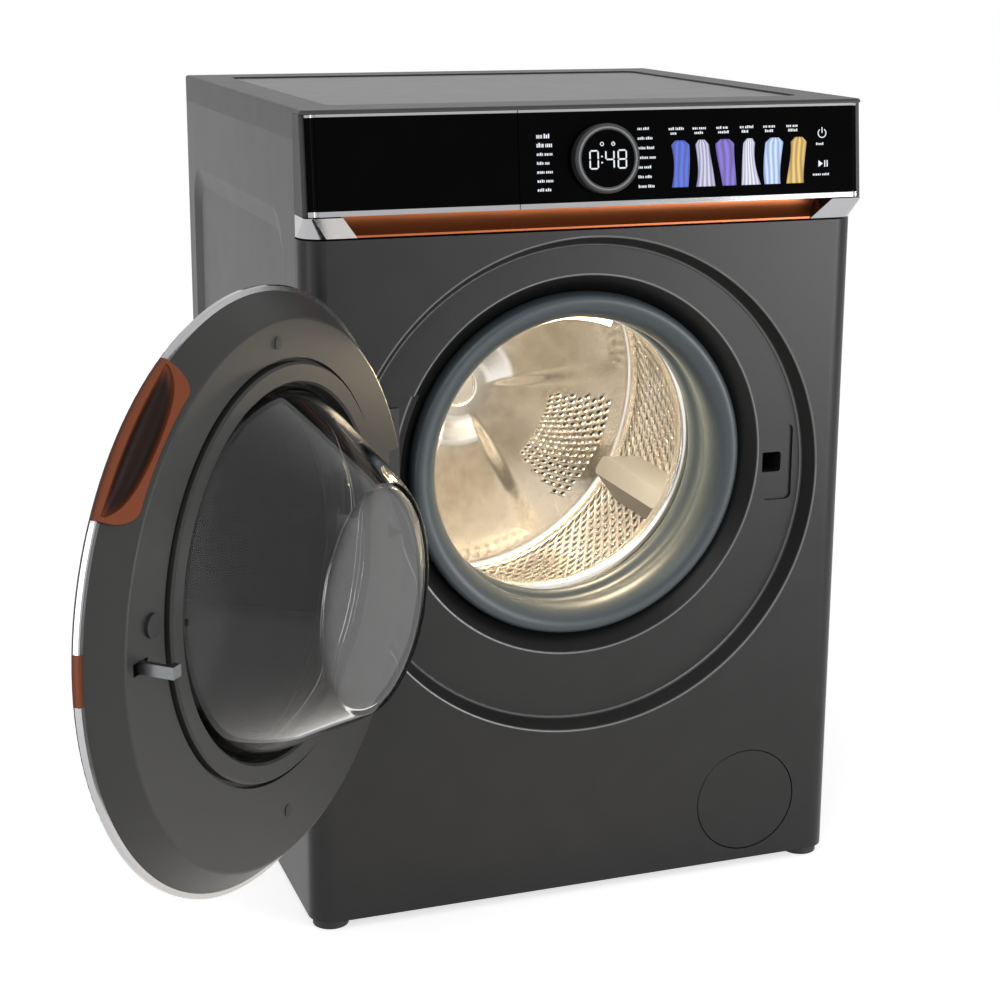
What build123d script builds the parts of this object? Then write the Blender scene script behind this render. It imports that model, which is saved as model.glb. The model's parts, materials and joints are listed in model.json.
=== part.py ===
from build123d import *
from math import atan2, cos, degrees, hypot, radians, sin, sqrt
import os

# Front-loading washing machine with its door open, in millimetres.
# +X is to the right seen from the front, +Y to the rear, +Z up.
# The origin lies on the floor, midway between the four feet.

# Cabinet
CAB_W = 600.0
CAB_D = 565.0
CAB_H = 850.0
SHEET = 1.2
CORNER_R = 24.0
KICK = 10.0
SEAM = 28.0
SEAM_GAP = 0.6
SEAM_FLANGE = 15.0
FRONT_DROP = 125.0
FRONT_FLANGE = 14.0
TOP_SKIRT = 30.0
FIT = 0.3
RUN = 0.05

# Pressed ring, door opening and their pockets in the front panel
RING_DROP = 396.5
RING_R = 264.0
RING_DEPTH = 18.0
RING_SLOPE = 10.0
PRESS_LAND = 3.0
PRESS_ROUND = 2.5
PORT_RISE = 20.0
PORT_R = 203.0
MOUTH_R = 184.0
FUNNEL = 18.0
MOUTH_FLANGE = 8.0
HINGE_POCKET_W = 76.0
HINGE_POCKET_H = 146.0
HINGE_POCKET_DEPTH = 6.0
LATCH_POCKET_W = 38.0
LATCH_POCKET_H = 86.0
LATCH_POCKET_DEPTH = 3.0
POCKET_R = 8.0
LATCH_SLOT_W = 23.0
LATCH_SLOT_H = 22.0

# Pressed field of a side panel
FIELD_FRONT = 82.0
FIELD_REAR = 32.0
FIELD_LOW = 95.0
FIELD_TOP = 75.0
FIELD_SLOPE = 22.0
FIELD_DEPTH = 5.0
FIELD_R = 40.0

# Top cover
TOP_WALL = 3.0
TOP_PLATE = 7.0
TOP_EDGE_R = 3.0
TOP_LIP = 4.0
TOP_OVERHANG = 2.0
INSET_SIDE = 42.0
INSET_FRONT = 58.0
INSET_REAR = 55.0
INSET_LEDGE = 9.0
INSET_R = 14.0
BOARD_T = 3.0
BOARD_GAP = 0.4

# Control panel
PANEL_DROP = 95.0
PANEL_PROUD = 13.0
PANEL_LEAN = 10.0
PANEL_SIDE = 5.0
PANEL_END_R = 8.0
GLASS_T = 10.0
TRIM_LOW = 5.0
TRIM_TOP = 2.5
TRIM_PROUD = 0.6
PANEL_WALL = 3.0
DRAWER_SEAM_X = -83.0
PANEL_GAP = 0.8
GRIP_LOW_IN = 55.0
GRIP_TOP_IN = 37.0
GRIP_DEPTH = 17.0
GRIP_SHEET = 2.0
GRIP_GAP = 2.0
DIAL_X = 6.5
DIAL_R = 34.5
DIAL_BORE_R = 28.4
DIAL_H = 13.0
DIAL_EDGE = 1.5
DIAL_DROP = 53.0
MODULE_W = 250.0
MODULE_H = 70.0
MODULE_T = 6.0

# Dispenser
TRAY_W = 196.0
TRAY_H = 66.0
TRAY_L = 290.0
TRAY_WALL = 2.0
TRAY_DROP = 91.0
TRAY_WALL_Y = 20.0
TRAY_GAP = 0.5
HOUSING_WALL = 2.5
HOUSING_L = 305.0
HOUSING_TOP_GAP = 12.0

# Door, described closed and swung open about its hinge
DOOR_OPEN = 133.0
DOOR_R = 267.0
DOOR_RIM_OUT = 10.0
DOOR_FACE_IN = 14.5
DOOR_FACE_R = 241.0
DOOR_WALL = 3.0
DOOR_ROUND = 4.0
RIM_T = 5.0
RIM_H = 6.0
SHELL_FRONT = 46.0
SHELL_FACE_R = 206.0
WINDOW_R = 196.0
WINDOW_T = 4.0
WINDOW_DOME = 6.0
SEAT_R = 187.0
GROOVE_W = 4.0
GROOVE_DEPTH = 6.0
LIP_H = 4.5
LIP_EDGE = 2.0
LIP_BORE_R = 165.0
SEAT_FLOOR = 3.0
BOWL_R = 163.0
BOWL_WALL = 5.0
BOWL_DEPTH = 108.0
BOWL_END_R = 97.0
BOWL_DROP = 12.0
BOWL_FLANGE_R = 185.0
BOWL_FLANGE_T = 4.5
HANDLE_FROM = 28.0
HANDLE_TO = 60.0
HANDLE_IN_R = 244.0
HANDLE_T = 19.0
HANDLE_ROUND = 18.0
HANDLE_SCOOP_R = 12.5
SCOOP_OUT = 3.5
SCOOP_TIP = 1.5
SCOOP_LIP = 2.0
TAB_FROM = -3.0
TAB_TO = 6.0
TAB_PROUD = 0.8
BUMPER_R = 10.0
BUMPER_GAP = 0.4
BUMPER_X = 204.0
BUMPER_RISE = 36.0
PLUG_R = 5.5
PLUG_TOP = 212.0
PLUG_H = 0.8

# Door hinge and latch
HINGE_X = -244.0
HINGE_OUT = 27.0
HINGE_RISE = 37.0
HINGE_PIN_R = 4.0
HINGE_BARREL_R = 7.0
HINGE_BARREL_H = 59.0
HINGE_LUG_T = 9.0
HINGE_LUG_GAP = 0.5
HINGE_LEG_X = -221.0
HINGE_LEG_W = 10.0
HINGE_PLATE_T = 3.0
HINGE_PLATE_X0 = -231.0
HINGE_PLATE_X1 = -198.0
HINGE_SCREW_R = 4.5
HINGE_SCREW_H = 2.0
HINGE_LEAF_T = 6.0
HINGE_LEAF_END = 4.0
HINGE_BOSS_W = 13.0
HINGE_NOTCH_OVER = 4.0
LATCH_X = 221.0
LATCH_RISE = 7.5
HOOK_L = 31.0
HOOK_W = 5.0
HOOK_H = 10.0
HOOK_NOSE = 6.0
HOOK_PIN_R = 2.5
HOOK_CHEEK = 5.0
LOCK_L = 48.0
LOCK_WALL = 3.0

# Gasket, tub and drum
GASKET_WALL = 3.0
GASKET_GAP = 1.0
GASKET_CREST_R = 168.0
GASKET_LIP_R = 155.5
GASKET_FOLD_R = 176.0
GASKET_THROAT_R = 160.0
NECK_R = 171.8
NECK_L = 13.0
TUB_IN = 104.0
TUB_R = 262.0
TUB_L = 351.0
TUB_WALL = 4.0
TUB_SPLIT = 166.0
TUB_RIM = 10.0
TUB_RIM_T = 8.0
BEARING_HOUSE_R = 50.0
BEARING_R = 31.0
BEARING_T = 15.0
BEARING_HOUSE_L = 36.0
SHAFT_R = 14.0
DRUM_CLEAR = 20.0
DRUM_WALL = 1.2
DRUM_GAP = 10.0
DRUM_MOUTH_R = 156.0
DRUM_L = 318.0
DRUM_BEAD_H = 2.0
DRUM_BEAD_W = 14.0
DRUM_BEADS = 3
LIFTERS = 3
LIFTER_W = 62.0
LIFTER_H = 48.0
LIFTER_L = 230.0
LIFTER_TIP = 24.0
SPIDER_ARMS = 3
SPIDER_IN = 12.0
SPIDER_T = 12.0
SPIDER_HUB_R = 38.0
PULLEY_R = 140.0
PULLEY_T = 14.0
PULLEY_RIM = 10.0
PULLEY_WEB = 6.0
PULLEY_GAP = 4.0
MOTOR_HANG = 19.5
MOTOR_LIFT = 3.0
MOTOR_R = 56.0
MOTOR_L = 150.0
MOTOR_SHAFT_R = 7.0
MOTOR_PULLEY_R = 11.0
BELT_T = 3.0
WEIGHT_IN_R = 186.0
WEIGHT_T = 39.0
WEIGHT_ARC = 80.0
WEIGHT_PLACES = (90.0, 270.0)
TOP_WEIGHT_X0 = -70.0
TOP_WEIGHT_X1 = 170.0
TOP_WEIGHT_L = 180.0
TOP_WEIGHT_CLEAR = 11.0
HEATER_R = 4.0
HEATER_SPAN = 40.0
HEATER_L = 250.0
LAMP_R = 146.0
LAMP_FROM = 68.0
LAMP_TO = 88.0
LAMP_L = 11.0

# Suspension, pump, base and rear fittings
DAMPER_X = 170.0
DAMPER_Y = 10.0
DAMPER_R = 14.0
DAMPER_ROD_R = 6.0
DAMPER_H = 145.0
SPRING_X = 277.0
SPRING_R = 9.0
SPRING_WIRE = 3.0
SPRING_RISE = 45.0
SPRING_LUG_T = 12.0
BRACE_IN = 345.0
BRACE_W = 25.0
BRACE_H = 24.0
BASE_Z = 12.5
BASE_H = 32.0
BASE_WALL = 2.5
FOOT_IN = 24.0
FOOT_R = 19.0
FOOT_H = 11.0
FOOT_STUD_R = 5.0
FOOT_STUD_L = 32.0
FOOT_BOSS_R = 14.0
FOOT_BOSS_H = 28.0
FILTER_X = 194.0
FILTER_Z = 80.5
FILTER_R = 58.0
FILTER_GAP = 0.8
FILTER_T = 3.0
FILTER_CLIP_R = 48.0
FILTER_CLIP_L = 8.0
FILTER_CLIP_W = 16.0
FILTER_CLIPS = 3
PUMP_R = 36.0
PUMP_WALL = 5.0
PUMP_IN = 14.0
PUMP_L = 96.0
PUMP_MOTOR_R = 30.0
PUMP_MOTOR_L = 70.0
PUMP_FLANGE_R = 64.0
CAGE_R = 22.0
CAGE_L = 50.0
PLUG_BODY_L = 24.0
KNOB_L = 8.0
INLET_X = -190.0
INLET_DROP = 70.0
INLET_R = 13.2
INLET_L = 14.0
VALVE_W = 44.0
VALVE_L = 50.0
HOSE_R = 9.0
FILL_HOSE_R = 10.0
SUMP_HOSE_R = 16.0
DRAIN_X = 277.0
DRAIN_CLEAR = 8.0
DRAIN_BEND = 30.0
DRAIN_R = 9.5
GLAND_X = -230.0
GLAND_DROP = 160.0
GLAND_R = 10.0
GLAND_BORE_R = 4.5
SERVICE_W = 380.0
SERVICE_DROP = 180.0
SERVICE_LOW = 110.0
SERVICE_R = 60.0
SERVICE_LAP = 12.0
SCREW_R = 5.0
SCREW_H = 3.0

# Places worked out from the sizes above
FRONT_Y = -CAB_D / 2
REAR_Y = CAB_D / 2
SIDE_X = CAB_W / 2
SKIRT_Z = CAB_H - TOP_SKIRT
FRONT_TOP = CAB_H - FRONT_DROP
PANEL_BOTTOM = CAB_H - PANEL_DROP
PANEL_TOP = CAB_H - TOP_LIP
DIAL_Z = CAB_H - DIAL_DROP
TRAY_FLOOR_Z = CAB_H - TRAY_DROP
INLET_Z = CAB_H - INLET_DROP
GLAND_Z = CAB_H - GLAND_DROP
SERVICE_H = CAB_H - SERVICE_DROP - SERVICE_LOW
SERVICE_Z = SERVICE_LOW + SERVICE_H / 2
GRIP_LOW_HALF = CAB_W / 2 - GRIP_LOW_IN
GRIP_TOP_HALF = CAB_W / 2 - GRIP_TOP_IN
FOOT_X = CAB_W / 2 - FOOT_IN
FOOT_Y = CAB_D / 2 - FOOT_IN
RING_Z = CAB_H - RING_DROP
SEAM_Y = FRONT_Y + SEAM
RING_Y = FRONT_Y + RING_DEPTH
RING_FLOOR_R = RING_R - RING_SLOPE
PORT_Z = RING_Z + PORT_RISE
MOUTH_Y = RING_Y + FUNNEL
HINGE_Y = FRONT_Y - HINGE_OUT
HINGE_Z = RING_Z + HINGE_RISE
LEAF_END_X = -(SEAT_R + DOOR_WALL + HINGE_LEAF_END)
NOTCH_X = LEAF_END_X - HINGE_BOSS_W
LATCH_Z = RING_Z + LATCH_RISE
DOOR_RIM_Y = FRONT_Y - DOOR_RIM_OUT
DOOR_FACE_Y = FRONT_Y + DOOR_FACE_IN
LIP_Y = DOOR_FACE_Y + LIP_H
SEAT_Y = DOOR_FACE_Y - GROOVE_DEPTH - SEAT_FLOOR
TUB_Y = FRONT_Y + TUB_IN
TUB_END_Y = TUB_Y + TUB_L
SPLIT_Y = TUB_Y + TUB_SPLIT
HOUSE_END_Y = TUB_END_Y + BEARING_HOUSE_L
DRUM_Y = TUB_Y + DRUM_GAP
DRUM_END_Y = DRUM_Y + DRUM_L
DRUM_R = TUB_R - TUB_WALL - DRUM_CLEAR
SPIDER_R = DRUM_R - SPIDER_IN
WEIGHT_R = TUB_R - TUB_WALL
TOP_WEIGHT_Z = CAB_H - TOP_SKIRT - BRACE_H - TOP_WEIGHT_CLEAR
PULLEY_Y = HOUSE_END_Y + PULLEY_GAP
PULLEY_END_Y = PULLEY_Y + PULLEY_T
BRACE_Y = FRONT_Y + BRACE_IN
DRAIN_Z = PORT_Z + sqrt(max(0.0, (TUB_R + TUB_RIM + DRAIN_CLEAR) ** 2 - (DRAIN_X - HOSE_R) ** 2))
SPRING_LUG_Z = DRAIN_Z + SPRING_RISE
PUMP_Y = FRONT_Y + PUMP_IN
PUMP_END_Y = PUMP_Y + PUMP_L
PANEL_TILT = atan2(PANEL_LEAN, PANEL_TOP - PANEL_BOTTOM)
PANEL_H = hypot(PANEL_LEAN, PANEL_TOP - PANEL_BOTTOM)
GRIP_TOP = PANEL_BOTTOM - TRIM_LOW * cos(PANEL_TILT) - GLASS_T * sin(PANEL_TILT)
GRIP_LOW = FRONT_TOP + GRIP_GAP

# The machine at home, and the door's own frame swung open about the hinge
HOME = Plane.XY
SWUNG_X = Vector(cos(radians(DOOR_OPEN)), -sin(radians(DOOR_OPEN)), 0)
SWUNG_Y = Vector(sin(radians(DOOR_OPEN)), cos(radians(DOOR_OPEN)), 0)
HINGE_FOOT = Vector(HINGE_X, HINGE_Y, 0)
SWUNG = Plane(HINGE_FOOT - SWUNG_X * HINGE_X - SWUNG_Y * HINGE_Y, x_dir=SWUNG_X, z_dir=(0, 0, 1))

# The slanted face of the control panel, drawn across and up, and its plan at the lower edge
PANEL_UP = Vector(0, sin(PANEL_TILT), cos(PANEL_TILT))
PANEL_FOOT = Vector(0, FRONT_Y - PANEL_PROUD, PANEL_BOTTOM)
PANEL_FACE = Plane(PANEL_FOOT, x_dir=(1, 0, 0), z_dir=(0, -cos(PANEL_TILT), sin(PANEL_TILT)))
PANEL_PLAN = Plane(PANEL_FOOT, x_dir=(1, 0, 0), z_dir=PANEL_UP)
PANEL_HALF = SIDE_X - PANEL_SIDE


def facing(y, pose=HOME):
    """Upright plane at depth y, drawn in X and Z, that looks out of the front."""
    return Plane(pose.from_local_coords(Vector(0, y, 0)), x_dir=pose.x_dir, z_dir=-pose.y_dir)


def section(x=0.0, pose=HOME):
    """Upright plane across the depth at x, drawn in Y and Z."""
    return Plane(pose.from_local_coords(Vector(x, 0, 0)), x_dir=pose.y_dir, z_dir=pose.x_dir)


def level(z, pose=HOME):
    """Level plane at height z, drawn in X and Y."""
    return Plane(pose.from_local_coords(Vector(0, 0, z)), x_dir=pose.x_dir, z_dir=pose.z_dir)


def radial(z, angle=90.0, pose=HOME):
    """Plane through the level axis at height z, drawn in depth and radius, at an angle above +X."""
    out = pose.x_dir * cos(radians(angle)) + pose.z_dir * sin(radians(angle))
    return Plane(pose.from_local_coords(Vector(0, 0, z)), x_dir=pose.y_dir, z_dir=pose.y_dir.cross(out))


def depth_axis(z, x=0.0, pose=HOME):
    """Axis along the depth at height z."""
    return Axis(pose.from_local_coords(Vector(x, 0, z)), pose.y_dir)


def turned_sheet(path, z, rounding, wall, side, pose=HOME):
    """Sheet of even wall turned about the level axis at z; path gives its drawn face in depth and radius."""
    with BuildPart() as sheet:
        with BuildSketch(radial(z, pose=pose)):
            with BuildLine():
                FilletPolyline(*path, radius=rounding)
                offset(amount=wall, side=side)
            make_face()
        revolve(axis=depth_axis(z, pose=pose))
    return sheet.part


def turned(outline, z, pose=HOME, to_angle=90.0, arc=360.0):
    """Solid turned about the level axis at z from an outline in depth and radius, up to an angle above +X."""
    with BuildPart() as body:
        with BuildSketch(radial(z, to_angle, pose)):
            with BuildLine():
                Polyline(*outline, close=True)
            make_face()
        revolve(axis=depth_axis(z, pose=pose), revolution_arc=arc)
    return body.part


def ring(y0, y1, r0, r1, z, pose=HOME, to_angle=90.0, arc=360.0):
    """Ring, or part of one, from depth y0 to y1 and radius r0 to r1 about the level axis at z."""
    return turned([(y0, r0), (y1, r0), (y1, r1), (y0, r1)], z, pose, to_angle, arc)


def barrel(x, z, y0, y1, radius, pose=HOME):
    """Round bar along the depth from y0 to y1."""
    with BuildPart() as bar:
        with BuildSketch(facing(y0, pose)):
            with Locations((x, z)):
                Circle(radius)
        extrude(amount=y0 - y1)
    return bar.part


def post(x, y, z0, z1, radius, pose=HOME):
    """Round upright bar from z0 to z1."""
    with BuildPart() as bar:
        with BuildSketch(level(z0, pose)):
            with Locations((x, y)):
                Circle(radius)
        extrude(amount=z1 - z0)
    return bar.part


def block(x0, x1, y0, y1, z0, z1, pose=HOME):
    """Box between two corners."""
    with BuildPart(pose) as box:
        with Locations(((x0 + x1) / 2, (y0 + y1) / 2, (z0 + z1) / 2)):
            Box(x1 - x0, y1 - y0, z1 - z0)
    return box.part


def tile(x, z, y0, y1, width, height, corner):
    """Upright plate with rounded corners from depth y0 to y1."""
    with BuildPart() as plate:
        with BuildSketch(facing(y0)):
            with Locations((x, z)):
                RectangleRounded(width, height, corner)
        extrude(amount=y0 - y1)
    return plate.part


def cabinet_plan(z0, z1, inset=0.0):
    """Upright prism of the cabinet's plan, round at the front corners, drawn in by an inset."""
    with BuildPart() as prism:
        with BuildSketch(level(z0)):
            RectangleRounded(CAB_W - 2 * inset, CAB_D - 2 * inset, CORNER_R - inset)
            with Locations((0, CAB_D / 4 - inset / 2)):
                Rectangle(CAB_W - 2 * inset, CAB_D / 2 - inset)
        extrude(amount=z1 - z0)
    return prism.part


def panel_slab(x0, x1, up0, up1, proud=0.0, thick=GLASS_T):
    """Slab on the slanted control panel whose outer upright edges are round."""
    round_r = PANEL_END_R + proud
    with BuildPart() as slab:
        with BuildSketch(PANEL_PLAN.offset(up0)):
            with BuildLine():
                Polyline((-PANEL_HALF, thick), (-PANEL_HALF, round_r - proud))
                RadiusArc((-PANEL_HALF, round_r - proud), (round_r - PANEL_HALF, -proud), round_r)
                Line((round_r - PANEL_HALF, -proud), (PANEL_HALF - round_r, -proud))
                RadiusArc((PANEL_HALF - round_r, -proud), (PANEL_HALF, round_r - proud), round_r)
                Polyline((PANEL_HALF, round_r - proud), (PANEL_HALF, thick), (-PANEL_HALF, thick))
            make_face()
            with Locations(((x0 + x1) / 2, 0)):
                Rectangle(x1 - x0, 4 * thick, mode=Mode.INTERSECT)
        extrude(amount=up1 - up0)
    return slab.part


def panel_box(x0, x1, up0, up1, deep0, deep1):
    """Box square to the slanted control panel, between two depths behind its face."""
    with BuildPart() as box:
        with BuildSketch(PANEL_FACE.offset(-deep0)):
            with Locations(((x0 + x1) / 2, (up0 + up1) / 2)):
                Rectangle(x1 - x0, up1 - up0)
        extrude(amount=deep0 - deep1)
    return box.part


def panel_disc(radius, deep0, deep1):
    """Round bar square to the slanted control panel at the programme dial."""
    with BuildPart() as bar:
        with BuildSketch(PANEL_FACE.offset(-deep0)):
            with Locations((DIAL_X, DIAL_UP)):
                Circle(radius)
        extrude(amount=deep0 - deep1)
    return bar.part


DIAL_UP = (DIAL_Z - PANEL_BOTTOM) / cos(PANEL_TILT)

# Base tray on the feet, with bosses for the feet and a cradle for the pump
with BuildPart() as base_tray:
    add(cabinet_plan(BASE_Z, BASE_Z + BASE_H, SHEET))
    add(cabinet_plan(BASE_Z + BASE_WALL, BASE_Z + BASE_H, SHEET + BASE_WALL), mode=Mode.SUBTRACT)
    add(barrel(FILTER_X, FILTER_Z, FRONT_Y, PUMP_Y + FILTER_T + FIT, PUMP_FLANGE_R + FIT), mode=Mode.SUBTRACT)
    for foot_x in (-FOOT_X, FOOT_X):
        for foot_y in (-FOOT_Y, FOOT_Y):
            add(post(foot_x, foot_y, BASE_Z, BASE_Z + FOOT_BOSS_H, FOOT_BOSS_R))
            add(post(foot_x, foot_y, BASE_Z, BASE_Z + FOOT_BOSS_H, FOOT_STUD_R + RUN), mode=Mode.SUBTRACT)
    add(block(FILTER_X - PUMP_R, FILTER_X + PUMP_R, PUMP_Y + PUMP_R, PUMP_END_Y, BASE_Z, FILTER_Z))
    add(barrel(FILTER_X, FILTER_Z, PUMP_Y, PUMP_END_Y + PUMP_R, PUMP_R), mode=Mode.SUBTRACT)
base_tray.part.label = "base_tray"

# Left side panel with its pressed field and front flange; the right one mirrors it
FIELD_Y0 = FRONT_Y + FIELD_FRONT
FIELD_Y1 = REAR_Y - FIELD_REAR
FIELD_Z0 = KICK + FIELD_LOW
FIELD_Z1 = SKIRT_Z - FIELD_TOP
SIDE_Y0 = SEAM_Y + SEAM_GAP
with BuildPart() as left_side_panel:
    add(block(-SIDE_X, SHEET - SIDE_X, SIDE_Y0, REAR_Y, KICK, SKIRT_Z))
    add(block(SHEET - SIDE_X, SEAM_FLANGE - SIDE_X, SIDE_Y0, SIDE_Y0 + SHEET, BASE_Z + BASE_H, FRONT_TOP))
    for skin, mode in ((SHEET, Mode.ADD), (0.0, Mode.SUBTRACT)):
        for inward in (0.0, 1.0):
            with BuildSketch(section(skin + inward * FIELD_DEPTH - SIDE_X)):
                with Locations(((FIELD_Y0 + FIELD_Y1) / 2, (FIELD_Z0 + FIELD_Z1) / 2)):
                    RectangleRounded(
                        FIELD_Y1 - FIELD_Y0 - 2 * inward * FIELD_SLOPE,
                        FIELD_Z1 - FIELD_Z0 - 2 * inward * FIELD_SLOPE,
                        FIELD_R - inward * FIELD_SLOPE / 2,
                    )
        loft(mode=mode)
left_side_panel.part.label = "left_side_panel"

with BuildPart() as right_side_panel:
    add(left_side_panel.part)
    mirror(about=Plane.YZ, mode=Mode.REPLACE)
right_side_panel.part.label = "right_side_panel"

# Rear panel with its service opening and the holes for inlet, outlet and mains gland
with BuildPart() as rear_panel:
    add(block(SHEET - SIDE_X, SIDE_X - SHEET, REAR_Y - SHEET, REAR_Y, BASE_Z + BASE_H, SKIRT_Z))
    add(tile(0, SERVICE_Z, REAR_Y - SHEET, REAR_Y, SERVICE_W, SERVICE_H, SERVICE_R), mode=Mode.SUBTRACT)
    add(barrel(INLET_X, INLET_Z, REAR_Y - SHEET, REAR_Y, INLET_R + FIT), mode=Mode.SUBTRACT)
    add(barrel(DRAIN_X, DRAIN_Z, REAR_Y - SHEET, REAR_Y, DRAIN_R + FIT), mode=Mode.SUBTRACT)
    add(barrel(GLAND_X, GLAND_Z, REAR_Y - SHEET, REAR_Y, GLAND_R), mode=Mode.SUBTRACT)
rear_panel.part.label = "rear_panel"

# Service cover over the opening in the rear panel, with a pressed field
COVER_W = SERVICE_W + 2 * SERVICE_LAP
COVER_H = SERVICE_H + 2 * SERVICE_LAP
with BuildPart() as rear_service_cover:
    add(tile(0, SERVICE_Z, REAR_Y, REAR_Y + SHEET, COVER_W, COVER_H, SERVICE_R + SERVICE_LAP))
    add(tile(0, SERVICE_Z, REAR_Y - SHEET, REAR_Y, SERVICE_W - 2 * SERVICE_LAP, SERVICE_H - 2 * SERVICE_LAP,
             SERVICE_R - SERVICE_LAP))
    add(tile(0, SERVICE_Z, REAR_Y, REAR_Y + SHEET, SERVICE_W - 2 * SERVICE_LAP - 2 * SHEET,
             SERVICE_H - 2 * SERVICE_LAP - 2 * SHEET, SERVICE_R - SERVICE_LAP - SHEET), mode=Mode.SUBTRACT)
rear_service_cover.part.label = "rear_service_cover"

# Front panel: wrapped round the corners, pressed ring, funnel to the gasket, hinge and latch pockets
with BuildPart() as front_panel:
    add(cabinet_plan(KICK, FRONT_TOP))
    add(cabinet_plan(KICK, FRONT_TOP - SHEET, SHEET), mode=Mode.SUBTRACT)
    add(block(-CAB_W, CAB_W, SEAM_Y, CAB_D, 0, CAB_H), mode=Mode.SUBTRACT)
    add(block(SEAM_FLANGE - SIDE_X, SIDE_X - SEAM_FLANGE, FRONT_Y + FRONT_FLANGE, CAB_D, KICK, CAB_H),
        mode=Mode.SUBTRACT)
    add(barrel(0, RING_Z, FRONT_Y, FRONT_Y + SHEET, RING_R + PRESS_LAND), mode=Mode.SUBTRACT)
    add(turned_sheet(
        [(FRONT_Y, RING_R + PRESS_LAND), (FRONT_Y, RING_R), (RING_Y, RING_FLOOR_R),
         (RING_Y, RING_FLOOR_R - PRESS_LAND)], RING_Z, PRESS_ROUND, SHEET, Side.LEFT))
    with BuildSketch(facing(RING_Y)):
        with Locations((0, RING_Z)):
            Circle(RING_FLOOR_R - PRESS_LAND)
        with Locations((0, PORT_Z)):
            Circle(PORT_R + PRESS_LAND, mode=Mode.SUBTRACT)
    extrude(amount=-SHEET)
    add(turned_sheet(
        [(RING_Y, PORT_R + PRESS_LAND), (RING_Y, PORT_R), (MOUTH_Y, MOUTH_R),
         (MOUTH_Y + MOUTH_FLANGE, MOUTH_R)],
        PORT_Z, PRESS_ROUND, SHEET, Side.LEFT))
    for pocket_x, pocket_z, pocket_w, pocket_h, deep in (
        (HINGE_X + HINGE_POCKET_W / 2 - SHEET, HINGE_Z, HINGE_POCKET_W, HINGE_POCKET_H, HINGE_POCKET_DEPTH),
        (LATCH_X + LATCH_SLOT_W / 4, LATCH_Z, LATCH_POCKET_W, LATCH_POCKET_H, LATCH_POCKET_DEPTH),
    ):
        hollow = tile(pocket_x, pocket_z, RING_Y, RING_Y + deep, pocket_w - 2 * SHEET, pocket_h - 2 * SHEET,
                      POCKET_R - SHEET)
        with BuildPart(mode=Mode.PRIVATE) as pocket:
            add(tile(pocket_x, pocket_z, RING_Y, RING_Y + deep + SHEET, pocket_w, pocket_h, POCKET_R))
            add(hollow, mode=Mode.SUBTRACT)
            add(turned([(RING_Y, 0), (RING_Y, PORT_R + SHEET / 2), (MOUTH_Y, MOUTH_R + SHEET / 2),
                        (MOUTH_Y, 0)], PORT_Z), mode=Mode.SUBTRACT)
        add(hollow, mode=Mode.SUBTRACT)
        add(pocket.part)
    add(tile(LATCH_X, LATCH_Z, RING_Y, MOUTH_Y, LATCH_SLOT_W, LATCH_SLOT_H, HOOK_NOSE / 2),
        mode=Mode.SUBTRACT)
    add(barrel(FILTER_X, FILTER_Z, FRONT_Y, FRONT_Y + SHEET, FILTER_R + FILTER_GAP), mode=Mode.SUBTRACT)
front_panel.part.label = "front_panel"

# Top cover frame with a ledge that carries the inset board
INSET_X = SIDE_X - INSET_SIDE
INSET_Y0 = FRONT_Y + INSET_FRONT
INSET_Y1 = REAR_Y - INSET_REAR
INSET_Y = (INSET_Y0 + INSET_Y1) / 2
TOP_Y0 = FRONT_Y - TOP_OVERHANG
LEDGE_Z = CAB_H - TOP_LIP - PANEL_GAP
with BuildPart() as top_cover_frame:
    with BuildSketch(level(SKIRT_Z)):
        with Locations((0, (SIDE_Y0 + REAR_Y) / 2)):
            Rectangle(CAB_W, REAR_Y - SIDE_Y0)
    extrude(amount=TOP_SKIRT)
    with BuildSketch(level(CAB_H - TOP_LIP)):
        with Locations((0, (TOP_Y0 + REAR_Y) / 2)):
            RectangleRounded(CAB_W, REAR_Y - TOP_Y0, PANEL_END_R)
    extrude(amount=TOP_LIP)
    add(block(TOP_WALL - SIDE_X, SIDE_X - TOP_WALL, SIDE_Y0, REAR_Y - TOP_WALL, SKIRT_Z, CAB_H - TOP_PLATE),
        mode=Mode.SUBTRACT)
    fillet(faces().sort_by(Axis.Z)[-1].outer_wire().edges(), TOP_EDGE_R)
    with BuildSketch(level(CAB_H)):
        with Locations((0, INSET_Y)):
            RectangleRounded(2 * INSET_X, INSET_Y1 - INSET_Y0, INSET_R)
    extrude(amount=LEDGE_Z - CAB_H, mode=Mode.SUBTRACT)
    with BuildSketch(level(CAB_H)):
        with Locations((0, INSET_Y)):
            Rectangle(2 * (INSET_X - INSET_LEDGE), INSET_Y1 - INSET_Y0 - 2 * INSET_LEDGE)
    extrude(amount=-TOP_SKIRT, mode=Mode.SUBTRACT)
top_cover_frame.part.label = "top_cover_frame"

with BuildPart() as top_cover_board:
    with BuildSketch(level(LEDGE_Z)):
        with Locations((0, INSET_Y)):
            RectangleRounded(2 * (INSET_X - BOARD_GAP), INSET_Y1 - INSET_Y0 - 2 * BOARD_GAP,
                             INSET_R - BOARD_GAP)
    extrude(amount=BOARD_T)
top_cover_board.part.label = "top_cover_board"

# Cross brace between the side panels, from which the suspension hangs
with BuildPart() as cross_brace:
    add(block(SHEET - SIDE_X, SIDE_X - SHEET, BRACE_Y, BRACE_Y + BRACE_W, SKIRT_Z - BRACE_H, SKIRT_Z))
    add(block(-SIDE_X, SIDE_X, BRACE_Y + SHEET, BRACE_Y + BRACE_W - SHEET,
              SKIRT_Z - BRACE_H + SHEET, SKIRT_Z),
        mode=Mode.SUBTRACT)
cross_brace.part.label = "cross_brace"

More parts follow.
